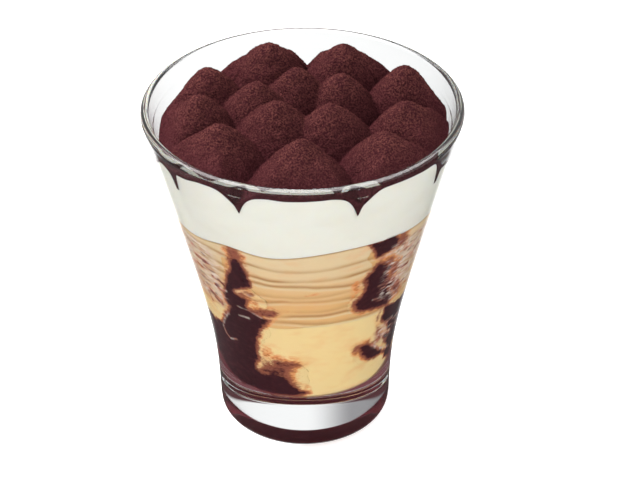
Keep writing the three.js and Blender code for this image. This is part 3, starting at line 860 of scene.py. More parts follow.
class Nodes:
    """Adds shading nodes. A value may be a number, a colour or another node's output."""

    def __init__(self, tree):
        self.tree = tree
        tree.nodes.clear()

    def add(self, kind, inputs=None, **options):
        """A new node of this kind, with these inputs and options."""
        node = self.tree.nodes.new("ShaderNode" + kind)
        for option, value in options.items():
            setattr(node, option, value)
        for key, value in (inputs or {}).items():
            self.feed(node.inputs[key], value)
        return node

    def feed(self, socket, value):
        """Give a socket a value, or link another node's output to it."""
        if isinstance(value, bpy.types.NodeSocket):
            self.tree.links.new(value, socket)
        elif hasattr(value, "__len__") and len(value) == 3 and socket.type == "RGBA":
            socket.default_value = (*value, 1.0)
        else:
            socket.default_value = value

    def math(self, operation, first, second=0.0):
        """The result of one operation on one or two values."""
        node = self.add("Math", operation=operation)
        self.feed(node.inputs[0], first)
        self.feed(node.inputs[1], second)
        return node.outputs[0]

    def mirrored(self):
        """1 for a ray that was thrown back with a gloss just before, and 0 for all others."""
        path = self.add("LightPath").outputs
        straight = self.math("SUBTRACT", 1.0, path["Is Transmission Ray"])
        return self.math("MULTIPLY", path["Is Glossy Ray"], straight)

    def ever_mirrored(self):
        """1 for a ray that was thrown back with a gloss anywhere on its way, and 0 for all others."""
        return self.math("GREATER_THAN", self.add("LightPath").outputs["Glossy Depth"], 0.5)

    def seen_through(self):
        """1 for a ray that came straight from the camera through glass, and 0 for all others."""
        path = self.add("LightPath").outputs
        direct = self.math("LESS_THAN", path["Diffuse Depth"], 0.5)
        return self.math("MULTIPLY", path["Is Transmission Ray"], direct)

    def noise(self, size, detail=2.0, stretch=(1, 1, 1), roughness=0.5):
        """Noise in the object's own space, with lumps of about size millimetres."""
        place = self.add("TexCoord").outputs["Object"]
        if stretch != (1, 1, 1):
            place = self.add("Mapping", {"Vector": place, "Scale": stretch}).outputs["Vector"]
        inputs = {"Vector": place, "Scale": 1 / (size * MM), "Detail": detail, "Roughness": roughness}
        return self.add("TexNoise", inputs).outputs["Fac"]

    def value(self, name):
        """A value that the mesh carries under this name."""
        return self.add("Attribute", attribute_name=name).outputs["Fac"]

    def parts(self, kind):
        """The X, Y and Z outputs of one kind of coordinate."""
        place = self.add("TexCoord").outputs[kind]
        return self.add("SeparateXYZ", {"Vector": place}).outputs

    def spread(self, value, low, high, to_low=0.0, to_high=1.0):
        """A value mapped from one range to another, kept inside it, with soft ends."""
        inputs = {"Value": value, "From Min": low, "From Max": high, "To Min": to_low, "To Max": to_high}
        node = self.add("MapRange", inputs, interpolation_type="SMOOTHSTEP")
        return node.outputs["Result"]

    def mix(self, share, first, second):
        """A colour between two others. Inputs 6 and 7 and output 2 are the node's colours."""
        node = self.add("Mix", data_type="RGBA")
        self.feed(node.inputs["Factor"], share)
        self.feed(node.inputs[6], first)
        self.feed(node.inputs[7], second)
        return node.outputs[2]

    def bump(self, height, depth):
        """Relief of depth millimetres."""
        inputs = {"Height": height, "Distance": depth * MM, "Strength": 1.0}
        return self.add("Bump", inputs).outputs["Normal"]


class Shader(Nodes):
    """Builds one material."""

    def __init__(self, name):
        self.material = bpy.data.materials.new(name)
        self.material.use_nodes = True
        super().__init__(self.material.node_tree)

    def finish(self, surface):
        """The material, with this surface as its output."""
        output = self.add("OutputMaterial")
        self.tree.links.new(surface, output.inputs["Surface"])
        return self.material


def glass_material(settings):
    """Clear glass. Shadow rays pass straight through, so that lamps reach the fill."""
    shader = Shader("clear_glass")
    glass = shader.add(
        "BsdfPrincipled",
        {
            "Base Color": GLASS_TINT,
            "Roughness": 0.0,
            "IOR": settings.ior,
            "Transmission Weight": 1.0,
        },
    )
    clear = shader.add("BsdfTransparent", {"Color": GLASS_SHADOW})
    shadow = shader.add("LightPath").outputs["Is Shadow Ray"]
    both = shader.add("MixShader", {"Fac": shadow})
    shader.tree.links.new(glass.outputs["BSDF"], both.inputs[1])
    shader.tree.links.new(clear.outputs["BSDF"], both.inputs[2])
    return shader.finish(both.outputs["Shader"])


def cocoa_material(settings):
    """Cocoa powder: light grains over dark, with painted light on the crests and painted shade lower down
    in the creases, and a dusty sheen.
    """
    shader = Shader("cocoa_powder")
    grain = shader.noise(0.42, 2.0, roughness=0.6)
    clump = shader.noise(2.4, 4.0, roughness=0.6)
    specks = shader.spread(grain, 0.38, 0.64)
    share = shader.math("MULTIPLY", specks, shader.spread(clump, 0.3, 0.68, 0.5, 1.0))
    # Painted light and shade: lighter grains on the crests, darker ones lower down in the creases.
    low = shader.mix(share, settings.cocoa_dark, settings.cocoa_valley_shade)
    high = shader.mix(share, settings.cocoa_mid, settings.cocoa_crest_highlight)
    surface = shader.add(
        "BsdfPrincipled",
        {
            "Base Color": shader.mix(shader.value("crest"), low, high),
            "Roughness": 1.0,
            "Specular IOR Level": 0.0,
            "Sheen Weight": settings.sheen,
            "Sheen Roughness": 0.4,
            "Sheen Tint": (*settings.sheen_tint, 1.0),
            "Normal": shader.bump(grain, 0.5),
        },
    )
    return shader.finish(surface.outputs["BSDF"])


def cream_material(settings):
    """Thick cream against glass: soft, nearly even, with faint denser streaks."""
    shader = Shader("piped_cream")
    streak = shader.noise(9.0, 2.0, (1, 1, 2.0))
    base = shader.mix(shader.spread(streak, 0.4, 0.8, 0.0, 0.5), settings.cream, settings.cream_shade)
    fine = shader.noise(1.2, 2.0)
    surface = shader.add(
        "BsdfPrincipled",
        {
            "Base Color": base,
            "Roughness": 0.5,
            "Specular IOR Level": 0.25,
            "Subsurface Weight": 0.6,
            "Subsurface Radius": (1.0, 0.8, 0.55),
            "Subsurface Scale": 1.6 * MM,
            "Normal": shader.bump(fine, 0.03),
        },
    )
    return shader.finish(surface.outputs["BSDF"])


def fill_color(shader, upper, lower, settings):
    """Custard with painted shade in its folds and a painted highlight under each, that takes up coffee and
    is smeared in streaks near the sides.
    """
    base = shader.mix(shader.spread(shader.parts("Object")["Z"], 0.048, 0.060), lower, upper)
    cloud = shader.noise(6.0, 2.0, (1, 1, 1.8))
    base = shader.mix(shader.spread(cloud, 0.45, 0.8, 0.0, 0.3), base, settings.amber)
    # Painted shade down in the folds and a painted highlight on the ridge under each.
    base = shader.mix(shader.value("fold_depth_and_shade"), base, settings.fold_shade)
    base = shader.mix(shader.value("ridge_highlight"), base, settings.pale)
    smear = shader.value("smear")
    base = shader.mix(shader.math("MULTIPLY", smear, 0.7), base, settings.veil)
    furrows = shader.spread(shader.noise(5.0, 2.0, (1, 1, 7.0)), 0.5, 0.62, 0.0, 0.6)
    base = shader.mix(shader.math("MULTIPLY", smear, furrows), base, settings.fold_shade)

    coffee = shader.value("coffee")
    drift = shader.math("SUBTRACT", shader.noise(2.6, 4.0, (1, 1, 1.5), 0.62), 0.5)
    ragged = shader.math("SUBTRACT", shader.noise(0.8, 3.0, (1, 1, 1.6), 0.6), 0.5)
    stir = shader.math("ADD", shader.math("MULTIPLY", drift, 0.75), shader.math("MULTIPLY", ragged, 0.4))
    soak = shader.math("ADD", coffee, shader.math("MULTIPLY", shader.spread(coffee, 0.0, 0.2), stir))
    patch = shader.spread(shader.noise(6.0, 2.0), 0.42, 0.6, 0.25, 1.0)
    base = shader.mix(shader.math("MULTIPLY", patch, shader.spread(soak, 0.08, 0.36)), base, settings.amber)
    base = shader.mix(shader.spread(soak, 0.26, 0.52), base, settings.stain)
    crumb = shader.spread(shader.noise(1.6, 4.0, (1, 1, 1.6)), 0.42, 0.75, 0.0, 0.3)
    sponge = shader.mix(crumb, settings.sponge_dark, settings.sponge_light)
    base = shader.mix(shader.spread(soak, 0.54, 0.8), base, sponge)

    strands = shader.spread(shader.noise(3.6, 3.0, (1, 1, 3.2), 0.6), 0.55, 0.64, 0.0, 0.75)
    base = shader.mix(shader.math("MULTIPLY", smear, strands), base, settings.mauve)
    wisps = shader.spread(shader.noise(3.2, 4.0, (1, 1, 4.5), 0.65), 0.5, 0.62, 0.0, 0.85)
    streak = shader.mix(shader.spread(shader.noise(3.0, 2.0), 0.42, 0.58), settings.blush, settings.wisp)
    base = shader.mix(shader.math("MULTIPLY", smear, wisps), base, streak)
    broken = shader.spread(shader.noise(1.8, 2.0), 0.32, 0.6, 0.2, 1.0)
    base = shader.mix(shader.math("MULTIPLY", shader.value("cream"), broken), base, streak)
    return shader.mix(shader.value("soaked"), base, settings.soaked_floor)


def custard_material(name, upper, lower, settings):
    """Moist custard that lets a little light in."""
    shader = Shader(name)
    surface = shader.add(
        "BsdfPrincipled",
        {
            "Base Color": fill_color(shader, upper, lower, settings),
            "Roughness": 0.45,
            "Specular IOR Level": 0.2,
            "Subsurface Weight": 0.35,
            "Subsurface Radius": (1.0, 0.7, 0.35),
            "Subsurface Scale": 0.6 * MM,
            "Normal": shader.bump(shader.noise(6.0, 2.0, (1, 1, 1.8)), 0.08),
        },
    )
    return shader.finish(surface.outputs["BSDF"])


def sponge_material(settings):
    """Sponge full of coffee, nearly black maroon, under the custard that is smeared over its edges."""
    shader = Shader("soaked_sponge")
    surface = shader.add(
        "BsdfPrincipled",
        {
            "Base Color": fill_color(shader, settings.folded, settings.golden, settings),
            "Roughness": 0.6,
            "Specular IOR Level": 0.15,
            "Normal": shader.bump(shader.noise(0.8, 4.0, roughness=0.65), 0.12),
        },
    )
    return shader.finish(surface.outputs["BSDF"])


# ---------------------------------------------------------------- pieces


def arc_points(centre, level, radius, degrees):
    """Points of a circular arc in the glass's section."""
    angles = degrees * DEGREE
    return np.stack([centre + radius * np.cos(angles), level + radius * np.sin(angles)], -1)


def glass_profile(glass):
    """The glass's section from the axis under the foot, up the outside and down to the floor."""
    contact = glass.outer(0) - glass.heel
    under = np.linspace(0, contact, UNDER_POINTS)[:-1]
    outside = np.linspace(glass.heel, glass.lip_centre, OUTSIDE_POINTS)[1:]
    levels = (
        glass.lip_centre,
        glass.ring_level + RING_SPAN,
        glass.ring_level - RING_SPAN,
        glass.corner_top,
    )
    parts = zip(levels, levels[1:], INSIDE_POINTS)
    inside = np.concatenate([np.linspace(start, end, count)[1:] for start, end, count in parts])
    ring = glass.ring_depth * np.exp(-(((inside - glass.ring_level) / RING_WIDTH) ** 2))
    middle = glass.wall(glass.corner_top) - glass.corner
    return np.vstack(
        [
            np.stack([under, glass.punt * (1 - smoothstep(under, glass.punt_start, contact))], -1),
            arc_points(contact, glass.heel, glass.heel, np.linspace(-90, 0, HEEL_POINTS)),
            np.stack([glass.outer(outside), outside], -1),
            arc_points(
                glass.rim - glass.lip, glass.lip_centre, glass.lip, np.linspace(0, 180, LIP_POINTS)[1:]
            ),
            np.stack([glass.wall(inside) + ring, inside], -1),
            arc_points(middle, glass.corner_top, glass.corner, np.linspace(0, -90, CORNER_POINTS)[1:]),
            [(radius, glass.base) for radius in np.linspace(middle, 0, FLOOR_POINTS)[1:]],
        ]
    )


def glass_mesh(settings):
    """The tumbler: its section turned round the axis, with a faint ripple outside."""
    glass = GlassForm(settings)
    profile = glass_profile(glass)
    body = profile[1:-1]
    angles = ring_angles(settings.sides)
    radius = np.repeat(body[:, :1], settings.sides, axis=1)
    height = np.repeat(body[:, 1:], settings.sides, axis=1)
    x, y = radius * np.cos(angles), radius * np.sin(angles)
    points = np.stack([x, y, height], -1).reshape(-1, 3)
    ripple = glass.ripple * fractal_noise(points, *RIPPLE).reshape(radius.shape)
    middle = (glass.outer(height) + glass.wall(height)) / 2
    outside = (radius > middle) & (height > glass.heel) & (height < glass.lip_centre)
    swollen = radius + np.where(outside, ripple - glass.ripple, 0)
    points = np.stack([swollen * np.cos(angles), swollen * np.sin(angles), height], -1).reshape(-1, 3)
    vertices = np.vstack([points, [[0, 0, profile[0, 1]]], [[0, 0, profile[-1, 1]]]])
    count = settings.sides
    faces = ring_quads(0, count, len(body))
    under, floor = len(points), len(points) + 1
    last = (len(body) - 1) * count
    for side in range(count):
        after = (side + 1) % count
        faces.append((under, after, side))
        faces.append((floor, last + side, last + after))
    return make_mesh("glass_fine", vertices, faces)


def crease_angles():
    """The places of the creases between neighbouring outer peaks."""
    azimuths = [peak[1] for peak in OUTER_PEAKS]
    following = azimuths[1:] + [azimuths[0] - 360]
    return [(a + b) / 2 * DEGREE for a, b in zip(azimuths, following)]


def coat_lower_line(glass, edge_heights, angles, rim_depth):
    """Height of the cocoa's lower edge on the wall: broad arcs, and a pointed run at each crease."""
    line = edge_heights - rim_depth
    radius = glass.inner(edge_heights)
    for number, (crease, tip, width) in enumerate(zip(crease_angles(), RUN_TIPS, RUN_WIDTHS)):
        apart = (angles - crease - RUN_SHIFTS[number] * DEGREE + math.pi) % math.tau - math.pi
        before, after = ARC_LEVELS[number], ARC_LEVELS[(number + 1) % len(ARC_LEVELS)]
        arc = np.where(apart > 0, before, after)
        drop = np.exp(-((np.abs(apart) * radius / width) ** RUN_POWER))
        near = np.abs(apart) < math.pi / len(ARC_LEVELS) * RUN_REACH
        line = np.where(near, np.minimum(line, arc - (arc - tip) * drop), line)
    return line


def wall_strip(glass, upper, lower, angles, reach, rows):
    """Rows of points down the wall from the upper to the lower line, without the first."""
    share = np.linspace(0, 1, rows + 1)[1:, None]
    z = upper + (lower - upper) * share
    radius = glass.inner(z) + reach
    return np.stack([radius * np.cos(angles), radius * np.sin(angles), z], -1).reshape(-1, 3)


def coat_mesh(piping, glass_settings, fill):
    """The cocoa: a grained skin over the peaks that runs down the wall in the creases."""
    glass = GlassForm(glass_settings)
    piped = PipedForm(piping)
    reach = fill.contact / MM
    table = ring_angles(EDGE_TABLE)
    edge = edge_radius(piped.height, glass, reach, table)

    def place(plan):
        angles = np.arctan2(plan[:, 1], plan[:, 0]) % math.tau
        radius = np.hypot(plan[:, 0], plan[:, 1]) * np.interp(angles, table, edge, period=math.tau)
        return radius * np.cos(angles), radius * np.sin(angles), angles

    plan, quads, border = disc_grid(piping.cells)
    x, y, _ = place(plan)
    z = piped.height(x, y)
    top = np.stack([x, y, z], -1)
    inside = 1 - smoothstep(np.hypot(plan[:, 0], plan[:, 1]), RELIEF_END, 1.0)
    clumps = piping.clump_relief / MM * fractal_noise(top, *CLUMPS)
    grains = piping.grain_relief / MM * fractal_noise(top, *GRAINS)
    top = top + surface_normals(piped.height, x, y) * ((clumps + grains) * inside)[:, None]

    rim = top[border]
    rim_angles = np.arctan2(rim[:, 1], rim[:, 0])
    lower = coat_lower_line(glass, rim[:, 2], rim_angles, piping.rim_depth / MM)
    strip = wall_strip(glass, rim[:, 2], lower, rim_angles, reach, COAT_ROWS)

    under_plan, under_quads, under_border = disc_grid(piping.cells // 2)
    under_x, under_y, under_angles = place(under_plan * UNDER_END)
    order = np.argsort(rim_angles % math.tau)
    low_edge = np.interp(under_angles, (rim_angles % math.tau)[order], lower[order], period=math.tau)
    skin = piped.height(under_x, under_y) - piping.coat_depth / MM
    near = smoothstep(np.hypot(under_plan[:, 0], under_plan[:, 1]), UNDER_FADE, 1.0)
    under = np.stack([under_x, under_y, skin + (low_edge - skin) * near], -1)

    wall_faces, hem = wall_quads(border, len(top), COAT_ROWS)
    under_start = len(top) + len(strip)
    faces = quads.tolist() + wall_faces + (under_start + under_quads[:, ::-1]).tolist()
    inner = under_start + under_border
    for side in range(len(inner)):
        after = (side + 1) % len(inner)
        a, b, c = hem[2 * side], hem[2 * side + 1], hem[(2 * side + 2) % len(hem)]
        faces.append((int(a), int(inner[side]), int(b)))
        faces.append((int(b), int(inner[side]), int(inner[after])))
        faces.append((int(b), int(inner[after]), int(c)))
    # The crest value paints light on the cocoa's crests and shade in its creases.
    crest = np.concatenate([piped.crest(x, y), np.zeros(len(strip) + len(under))])
    return make_mesh("cocoa_fine", np.vstack([top, strip, under]), faces, {"crest": crest})


def cream_mesh(piping, glass_settings, fill):
    """The cream: a side pressed into the wall, and the peaks' own tops under the cocoa."""
    glass = GlassForm(glass_settings)
    piped = PipedForm(piping)
    table = ring_angles(fill.sides)
    contact = fill.contact / MM
    edge = edge_radius(piped.height, glass, contact, table)
    upper = piped.height(edge * np.cos(table), edge * np.sin(table)) - COCOA_LAP

    plan, quads, border = disc_grid(fill.sides // CREAM_COARSENESS)
    angles = np.arctan2(plan[:, 1], plan[:, 0])
    high = np.interp(angles, table, upper, period=math.tau)
    edge = glass.inner(high) + contact - SEAM
    share = np.hypot(plan[:, 0], plan[:, 1])
    x, y = share * edge * np.cos(angles), share * edge * np.sin(angles)
    skin = piped.height(x, y) - piping.coat_depth / MM + COCOA_SINK
    near = smoothstep(share, CREAM_FADE, 1.0)
    top = np.stack([x, y, skin + (high - skin) * near], -1)

    rim = top[border]
    rim_angles = np.arctan2(rim[:, 1], rim[:, 0])
    low = np.interp(rim_angles, table, cream_line(table), period=math.tau)
    z = rim[:, 2] + (low - rim[:, 2]) * np.linspace(0, 1, fill.rows + 1)[1:, None]
    grid = np.broadcast_to(rim_angles, z.shape)
    groove = GROOVE_DEPTH * np.exp(-np.clip(z - cream_line(grid), 0, None) / GROOVE_HEIGHT)
    radius = glass.inner(z) + contact - SEAM - groove
    side = np.stack([radius * np.cos(grid), radius * np.sin(grid), z], -1).reshape(-1, 3)

    wall_faces, hem = wall_quads(border, len(top), fill.rows)
    centre = len(top) + len(side)
    count = len(hem)
    bottom = [(int(hem[(i + 1) % count]), int(hem[i]), centre) for i in range(count)]
    vertices = np.vstack([top, side, [[0, 0, float(low.mean())]]])
    return make_mesh("cream_fine", vertices, quads.tolist() + wall_faces + bottom)


def layer_mesh(name, glass, lower, upper, settings):
    """A layer of custard between two lines on the wall, its folded side pressed into the glass."""
    angles = ring_angles(settings.sides)
    share = np.linspace(0, 1, settings.rows + 1)[:, None]
    z = lower + (upper - lower) * share
    grid = np.broadcast_to(angles, z.shape)
    folds = settings.fold_depth / MM * fold_values(grid, z)[0]
    radius = glass.inner(z) + settings.contact / MM - FOLD_SEAM - folds
    points = np.stack([radius * np.cos(grid), radius * np.sin(grid), z], -1).reshape(-1, 3)
    count = settings.sides
    vertices = [points]
    faces = ring_quads(0, count, settings.rows + 1)
    total = len(points)
    for line, start, flip in ((lower, 0, True), (upper, settings.rows * count, False)):
        ring = np.arange(start, start + count)
        outline = points[ring]
        middle = np.array([0, 0, float(np.mean(line))])
        for shrink in CAP_RINGS:
            inner = middle + (outline - middle) * shrink
            vertices.append(inner)
            following = total + np.arange(count)
            total += count
            for side in range(count):
                after = (side + 1) % count
                face = (int(ring[side]), int(ring[after]), int(following[after]), int(following[side]))
                faces.append(face[::-1] if flip else face)
            ring = following
        vertices.append(middle[None])
        for side in range(count):
            face = (int(ring[side]), int(ring[(side + 1) % count]), total)
            faces.append(face[::-1] if flip else face)
        total += 1
    points = np.vstack(vertices)
    return make_mesh(name, points, faces, fill_values(points, glass))


def fold_values(angles, z):
    """Depth of the folds at a place on the wall, which also paints shade into them, and the painted
    highlight on the ridge under each, from 0 to 1.
    """
    fold_depth_and_shade = np.zeros(np.broadcast(angles, z).shape)
    ridge_highlight = np.zeros_like(fold_depth_and_shade)
    x, y = FOLD_RADIUS * np.cos(angles), FOLD_RADIUS * np.sin(angles)
    place = np.stack([x, y, z], -1).reshape(-1, 3)
    wobble = fractal_noise(place, *FOLD_WANDER).reshape(fold_depth_and_shade.shape)
    strength = fractal_noise(place, *FOLD_BREAKS).reshape(fold_depth_and_shade.shape)
    middle, swing, swings, least = FOLD_PRESENCE
    for number, (level, wave, turns, crest, depth) in enumerate(FOLDS):
        line = level + wave * np.cos(turns * (angles - crest * DEGREE)) + FOLD_WANDER_DEPTH * wobble
        above = z - line
        shape = np.exp(-((above / np.where(above > 0, FOLD_ABOVE, FOLD_BELOW)) ** 2))
        local = depth * np.clip(middle + swing * np.sin(swings * strength + number), least, 1.0)
        fold_depth_and_shade = np.maximum(fold_depth_and_shade, shape * local)
        ridge_highlight = np.maximum(ridge_highlight, np.exp(-(((above + RIDGE_DROP) / RIDGE_WIDTH) ** 2)) * local)
    under = cream_line(angles) - z
    fold_depth_and_shade = np.maximum(fold_depth_and_shade, SEAM_SHADE * np.exp(-((under / SEAM_WIDTH) ** 2)))
    return fold_depth_and_shade, ridge_highlight * (1 - fold_depth_and_shade)


def segment_distance(place, height, scale, start, end):
    """Distance on the wall, in millimetres, to the line between two points of it."""
    run = (end[0] - start[0]) * scale
    rise = end[1] - start[1]
    across = (place - start[0]) * scale
    up = height - start[1]
    share = np.clip((across * run + up * rise) / np.maximum(run * run + rise * rise, TINY**2), 0, 1)
    return np.hypot(across - share * run, up - share * rise)


def outline_distance(place, height, scale, outline):
    """Distance on the wall to a closed outline, in millimetres, and less than 0 inside it."""
    nearest = np.full(place.shape, np.inf)
    inside = np.zeros(place.shape, bool)
    for start, end in zip(outline, outline[1:] + outline[:1]):
        nearest = np.minimum(nearest, segment_distance(place, height, scale, start, end))
        crosses = (start[1] > height) != (end[1] > height)
        share = (height - start[1]) / (end[1] - start[1] or 1)
        inside ^= crosses & (place < start[0] + share * (end[0] - start[0]))
    return np.where(inside, -nearest, nearest)


def wall_place(points):
    """Place round the glass in degrees, height, and millimetres to a degree, for each point."""
    place = np.degrees(np.arctan2(points[:, 1], points[:, 0]))
    return place, points[:, 2], np.hypot(points[:, 0], points[:, 1]) * DEGREE


def backward(points, start, end):
    """0 in front and 1 further round, between two sines of the angle round +Z."""
    return smoothstep(np.sin(np.arctan2(points[:, 1], points[:, 0])), start, end)


def ragged(points, noise):
    """Uneven noise beside and behind the front, and none in front."""
    return backward(points, *RAGGED_SIDE) * fractal_noise(points, *noise)


def stroke_values(points, strokes):
    """Strength of thin strokes on the wall at each point, from 0 to 1."""
    place, height, scale = wall_place(points)
    values = np.zeros(len(points))
    for line, width, strength in strokes:
        for start, end in zip(line, line[1:]):
            distance = segment_distance(place, height, scale, start, end)
            values = np.maximum(values, strength * np.exp(-((distance / width) ** 2)))
    return values


def coffee_values(points):
    """How much coffee there is at each point of the fill's side, from 0 to 1."""
    place, height, scale = wall_place(points)
    coffee = stroke_values(points, COFFEE_STROKES)
    wander = STAIN_RAGGED * ragged(points, STAIN_EDGE)
    for outline, softness, strength in STAINS:
        distance = outline_distance(place, height, scale, outline) + wander
        coffee = np.maximum(coffee, strength * np.clip(0.5 - distance / (2 * softness), 0, 1))
    wander = LUMP_RAGGED * ragged(points, LUMP_EDGE)
    back = [lump for name in BACK_SPONGES for lump in SPONGES[name]]
    for azimuth, z, wide, tall, _ in back:
        distance = np.hypot((place - azimuth) * scale / wide, (height - z) / tall) - LUMP_AT_WALL
        coffee = np.maximum(coffee, np.clip(0.5 - (distance + wander) * min(wide, tall) / 2, 0, 1))
    return coffee


def smear_values(points):
    """How much the fill is smeared in streaks at each point, from 0 to 1."""
    place, height, _ = wall_place(points)
    place = place + SMEAR_RAGGED * ragged(points, SMEAR_END)
    smear = np.zeros(len(points))
    for from_place, to_place, from_z, to_z in SMEARS:
        start = smoothstep(place, from_place, from_place + SMEAR_FADE)
        end = 1 - smoothstep(place, to_place - SMEAR_FADE, to_place)
        foot = smoothstep(height, from_z, from_z + SMEAR_FOOT)
        top = 1 - smoothstep(height, to_z - SMEAR_TOP, to_z)
        smear = np.maximum(smear, start * end * foot * top)
    return smear


def soaked_values(points, glass):
    """How much the fill's foot is soaked at each point, from 0 to 1."""
    beside, behind = backward(points, *BESIDE), backward(points, *BEHIND)
    height = points[:, 2] - glass.base
    wander = SOAKED_WANDER * fractal_noise(points, *SOAKED_EDGE)
    rise = behind * (SOAKED_BACK_RISE + SOAKED_BACK_WANDER * ragged(points, SOAKED_BACK_EDGE))
    level = height + wander * beside - rise
    strength = SOAKED_STRENGTH[0] + SOAKED_STRENGTH[1] * beside
    strength = np.where(height < 2 * BASE_SINK, 1.0, strength)
    top = SOAKED_TOP[0] + SOAKED_TOP[1] * beside + SOAKED_TOP[2] * behind
    softness = SOAKED_SOFTNESS[0] + SOAKED_SOFTNESS[1] * beside + SOAKED_SOFTNESS[2] * behind
    return strength * (1 - smoothstep(level, top, top + softness))


def fill_values(points, glass):
    """The named values that the fill's colour reads, at each point."""
    fold_depth_and_shade, ridge_highlight = fold_values(np.arctan2(points[:, 1], points[:, 0]), points[:, 2])
    side = np.hypot(points[:, 0], points[:, 1]) > glass.inner(points[:, 2]) - SIDE_DEPTH
    return {
        # These paint shade into the folds and a highlight on the ridge under each.
        "fold_depth_and_shade": fold_depth_and_shade * side,
        "ridge_highlight": ridge_highlight * side,
        "coffee": coffee_values(points),
        "cream": stroke_values(points, CREAM_STROKES),
        "smear": smear_values(points),
        "soaked": soaked_values(points, glass),
    }


def lump_points(lump, glass, sphere):
    """The points of one sponge lump, from those of a unit ball."""
    azimuth, z, wide, tall, deep = lump
    phases = np.array([1, -1, 0]) * (azimuth + z)
    relief = np.sin(sphere * LUMP_WAVES + phases).sum(axis=1)
    shaped = sphere * (1 + LUMP_RELIEF * relief)[:, None] * (deep, wide, tall)
    shaped = shaped + (glass.inner(z) - LUMP_INSET * deep, 0, z)
    turn = azimuth * DEGREE
    x = shaped[:, 0] * math.cos(turn) - shaped[:, 1] * math.sin(turn)
    y = shaped[:, 0] * math.sin(turn) + shaped[:, 1] * math.cos(turn)
    return np.stack([x, y, shaped[:, 2]], -1)


def unit_ball(subdivisions):
    """Points and triangles of a unit ball made of even triangles."""
    ball = bmesh.new()
    bmesh.ops.create_icosphere(ball, subdivisions=subdivisions, radius=1.0)
    points = np.array([vertex.co for vertex in ball.verts])
    faces = [[vertex.index for vertex in face.verts] for face in ball.faces]
    ball.free()
    return points, faces


def mesh_points(mesh):
    """A mesh's points in millimetres."""
    points = np.empty(len(mesh.vertices) * 3)
    mesh.vertices.foreach_get("co", points)
    return points.reshape(-1, 3) / MM


def remeshed(name, vertices, faces, voxel):
    """The union of overlapping closed shapes, as one even mesh."""
    holder = bpy.data.objects.new(name + "_raw", make_mesh(name + "_raw", vertices, faces))
    bpy.context.scene.collection.objects.link(holder)
    modifier = holder.modifiers.new("union", "REMESH")
    modifier.mode = "VOXEL"
    modifier.voxel_size = voxel
    modifier.use_smooth_shade = True
    graph = bpy.context.evaluated_depsgraph_get()
    mesh = bpy.data.meshes.new_from_object(holder.evaluated_get(graph), depsgraph=graph)
    mesh.name = name
    bpy.data.objects.remove(holder)
    return mesh


def sponge_mesh(name, lumps, glass, settings, number):
    """Crumbly sponge: lumps joined, roughened, and pressed flat where they meet the glass."""
    sphere, triangles = unit_ball(BALL_DETAIL)
    vertices = np.vstack([lump_points(lump, glass, sphere) for lump in lumps])
    faces = [
        [i + copy * len(sphere) for i in triangle] for copy in range(len(lumps)) for triangle in triangles
    ]
    mesh = remeshed(name + "_fine", vertices, faces, settings.voxel)
    points = mesh_points(mesh)
    normals = np.empty(len(points) * 3)
    mesh.vertices.foreach_get("normal", normals)
    normals = normals.reshape(-1, 3)
    crumb = CRUMB_DEPTH * fractal_noise(points, *CRUMB, number)
    crumb += FINE_CRUMB_DEPTH * fractal_noise(points, *FINE_CRUMB, number)
    points = points + normals * crumb[:, None]
    lowest = glass.base - 2 * BASE_SINK
    points[:, 2] = np.clip(points[:, 2], lowest, None)
    radius = np.hypot(points[:, 0], points[:, 1])
    angles = np.arctan2(points[:, 1], points[:, 0])
    reach = (settings.contact + settings.sponge_proud) / MM
    limit = glass.inner(np.maximum(points[:, 2], glass.base + 4 * BASE_SINK)) + reach
    points[:, 2] = np.minimum(points[:, 2], cream_line(angles) + SPONGE_LAP)
    scale = np.minimum(radius, limit) / np.maximum(radius, TINY)
    points[:, :2] *= scale[:, None]
    mesh.vertices.foreach_set("co", (points * MM).ravel())
    add_values(mesh, fill_values(points, glass))
    mesh.shade_smooth()
    mesh.update()
    return mesh


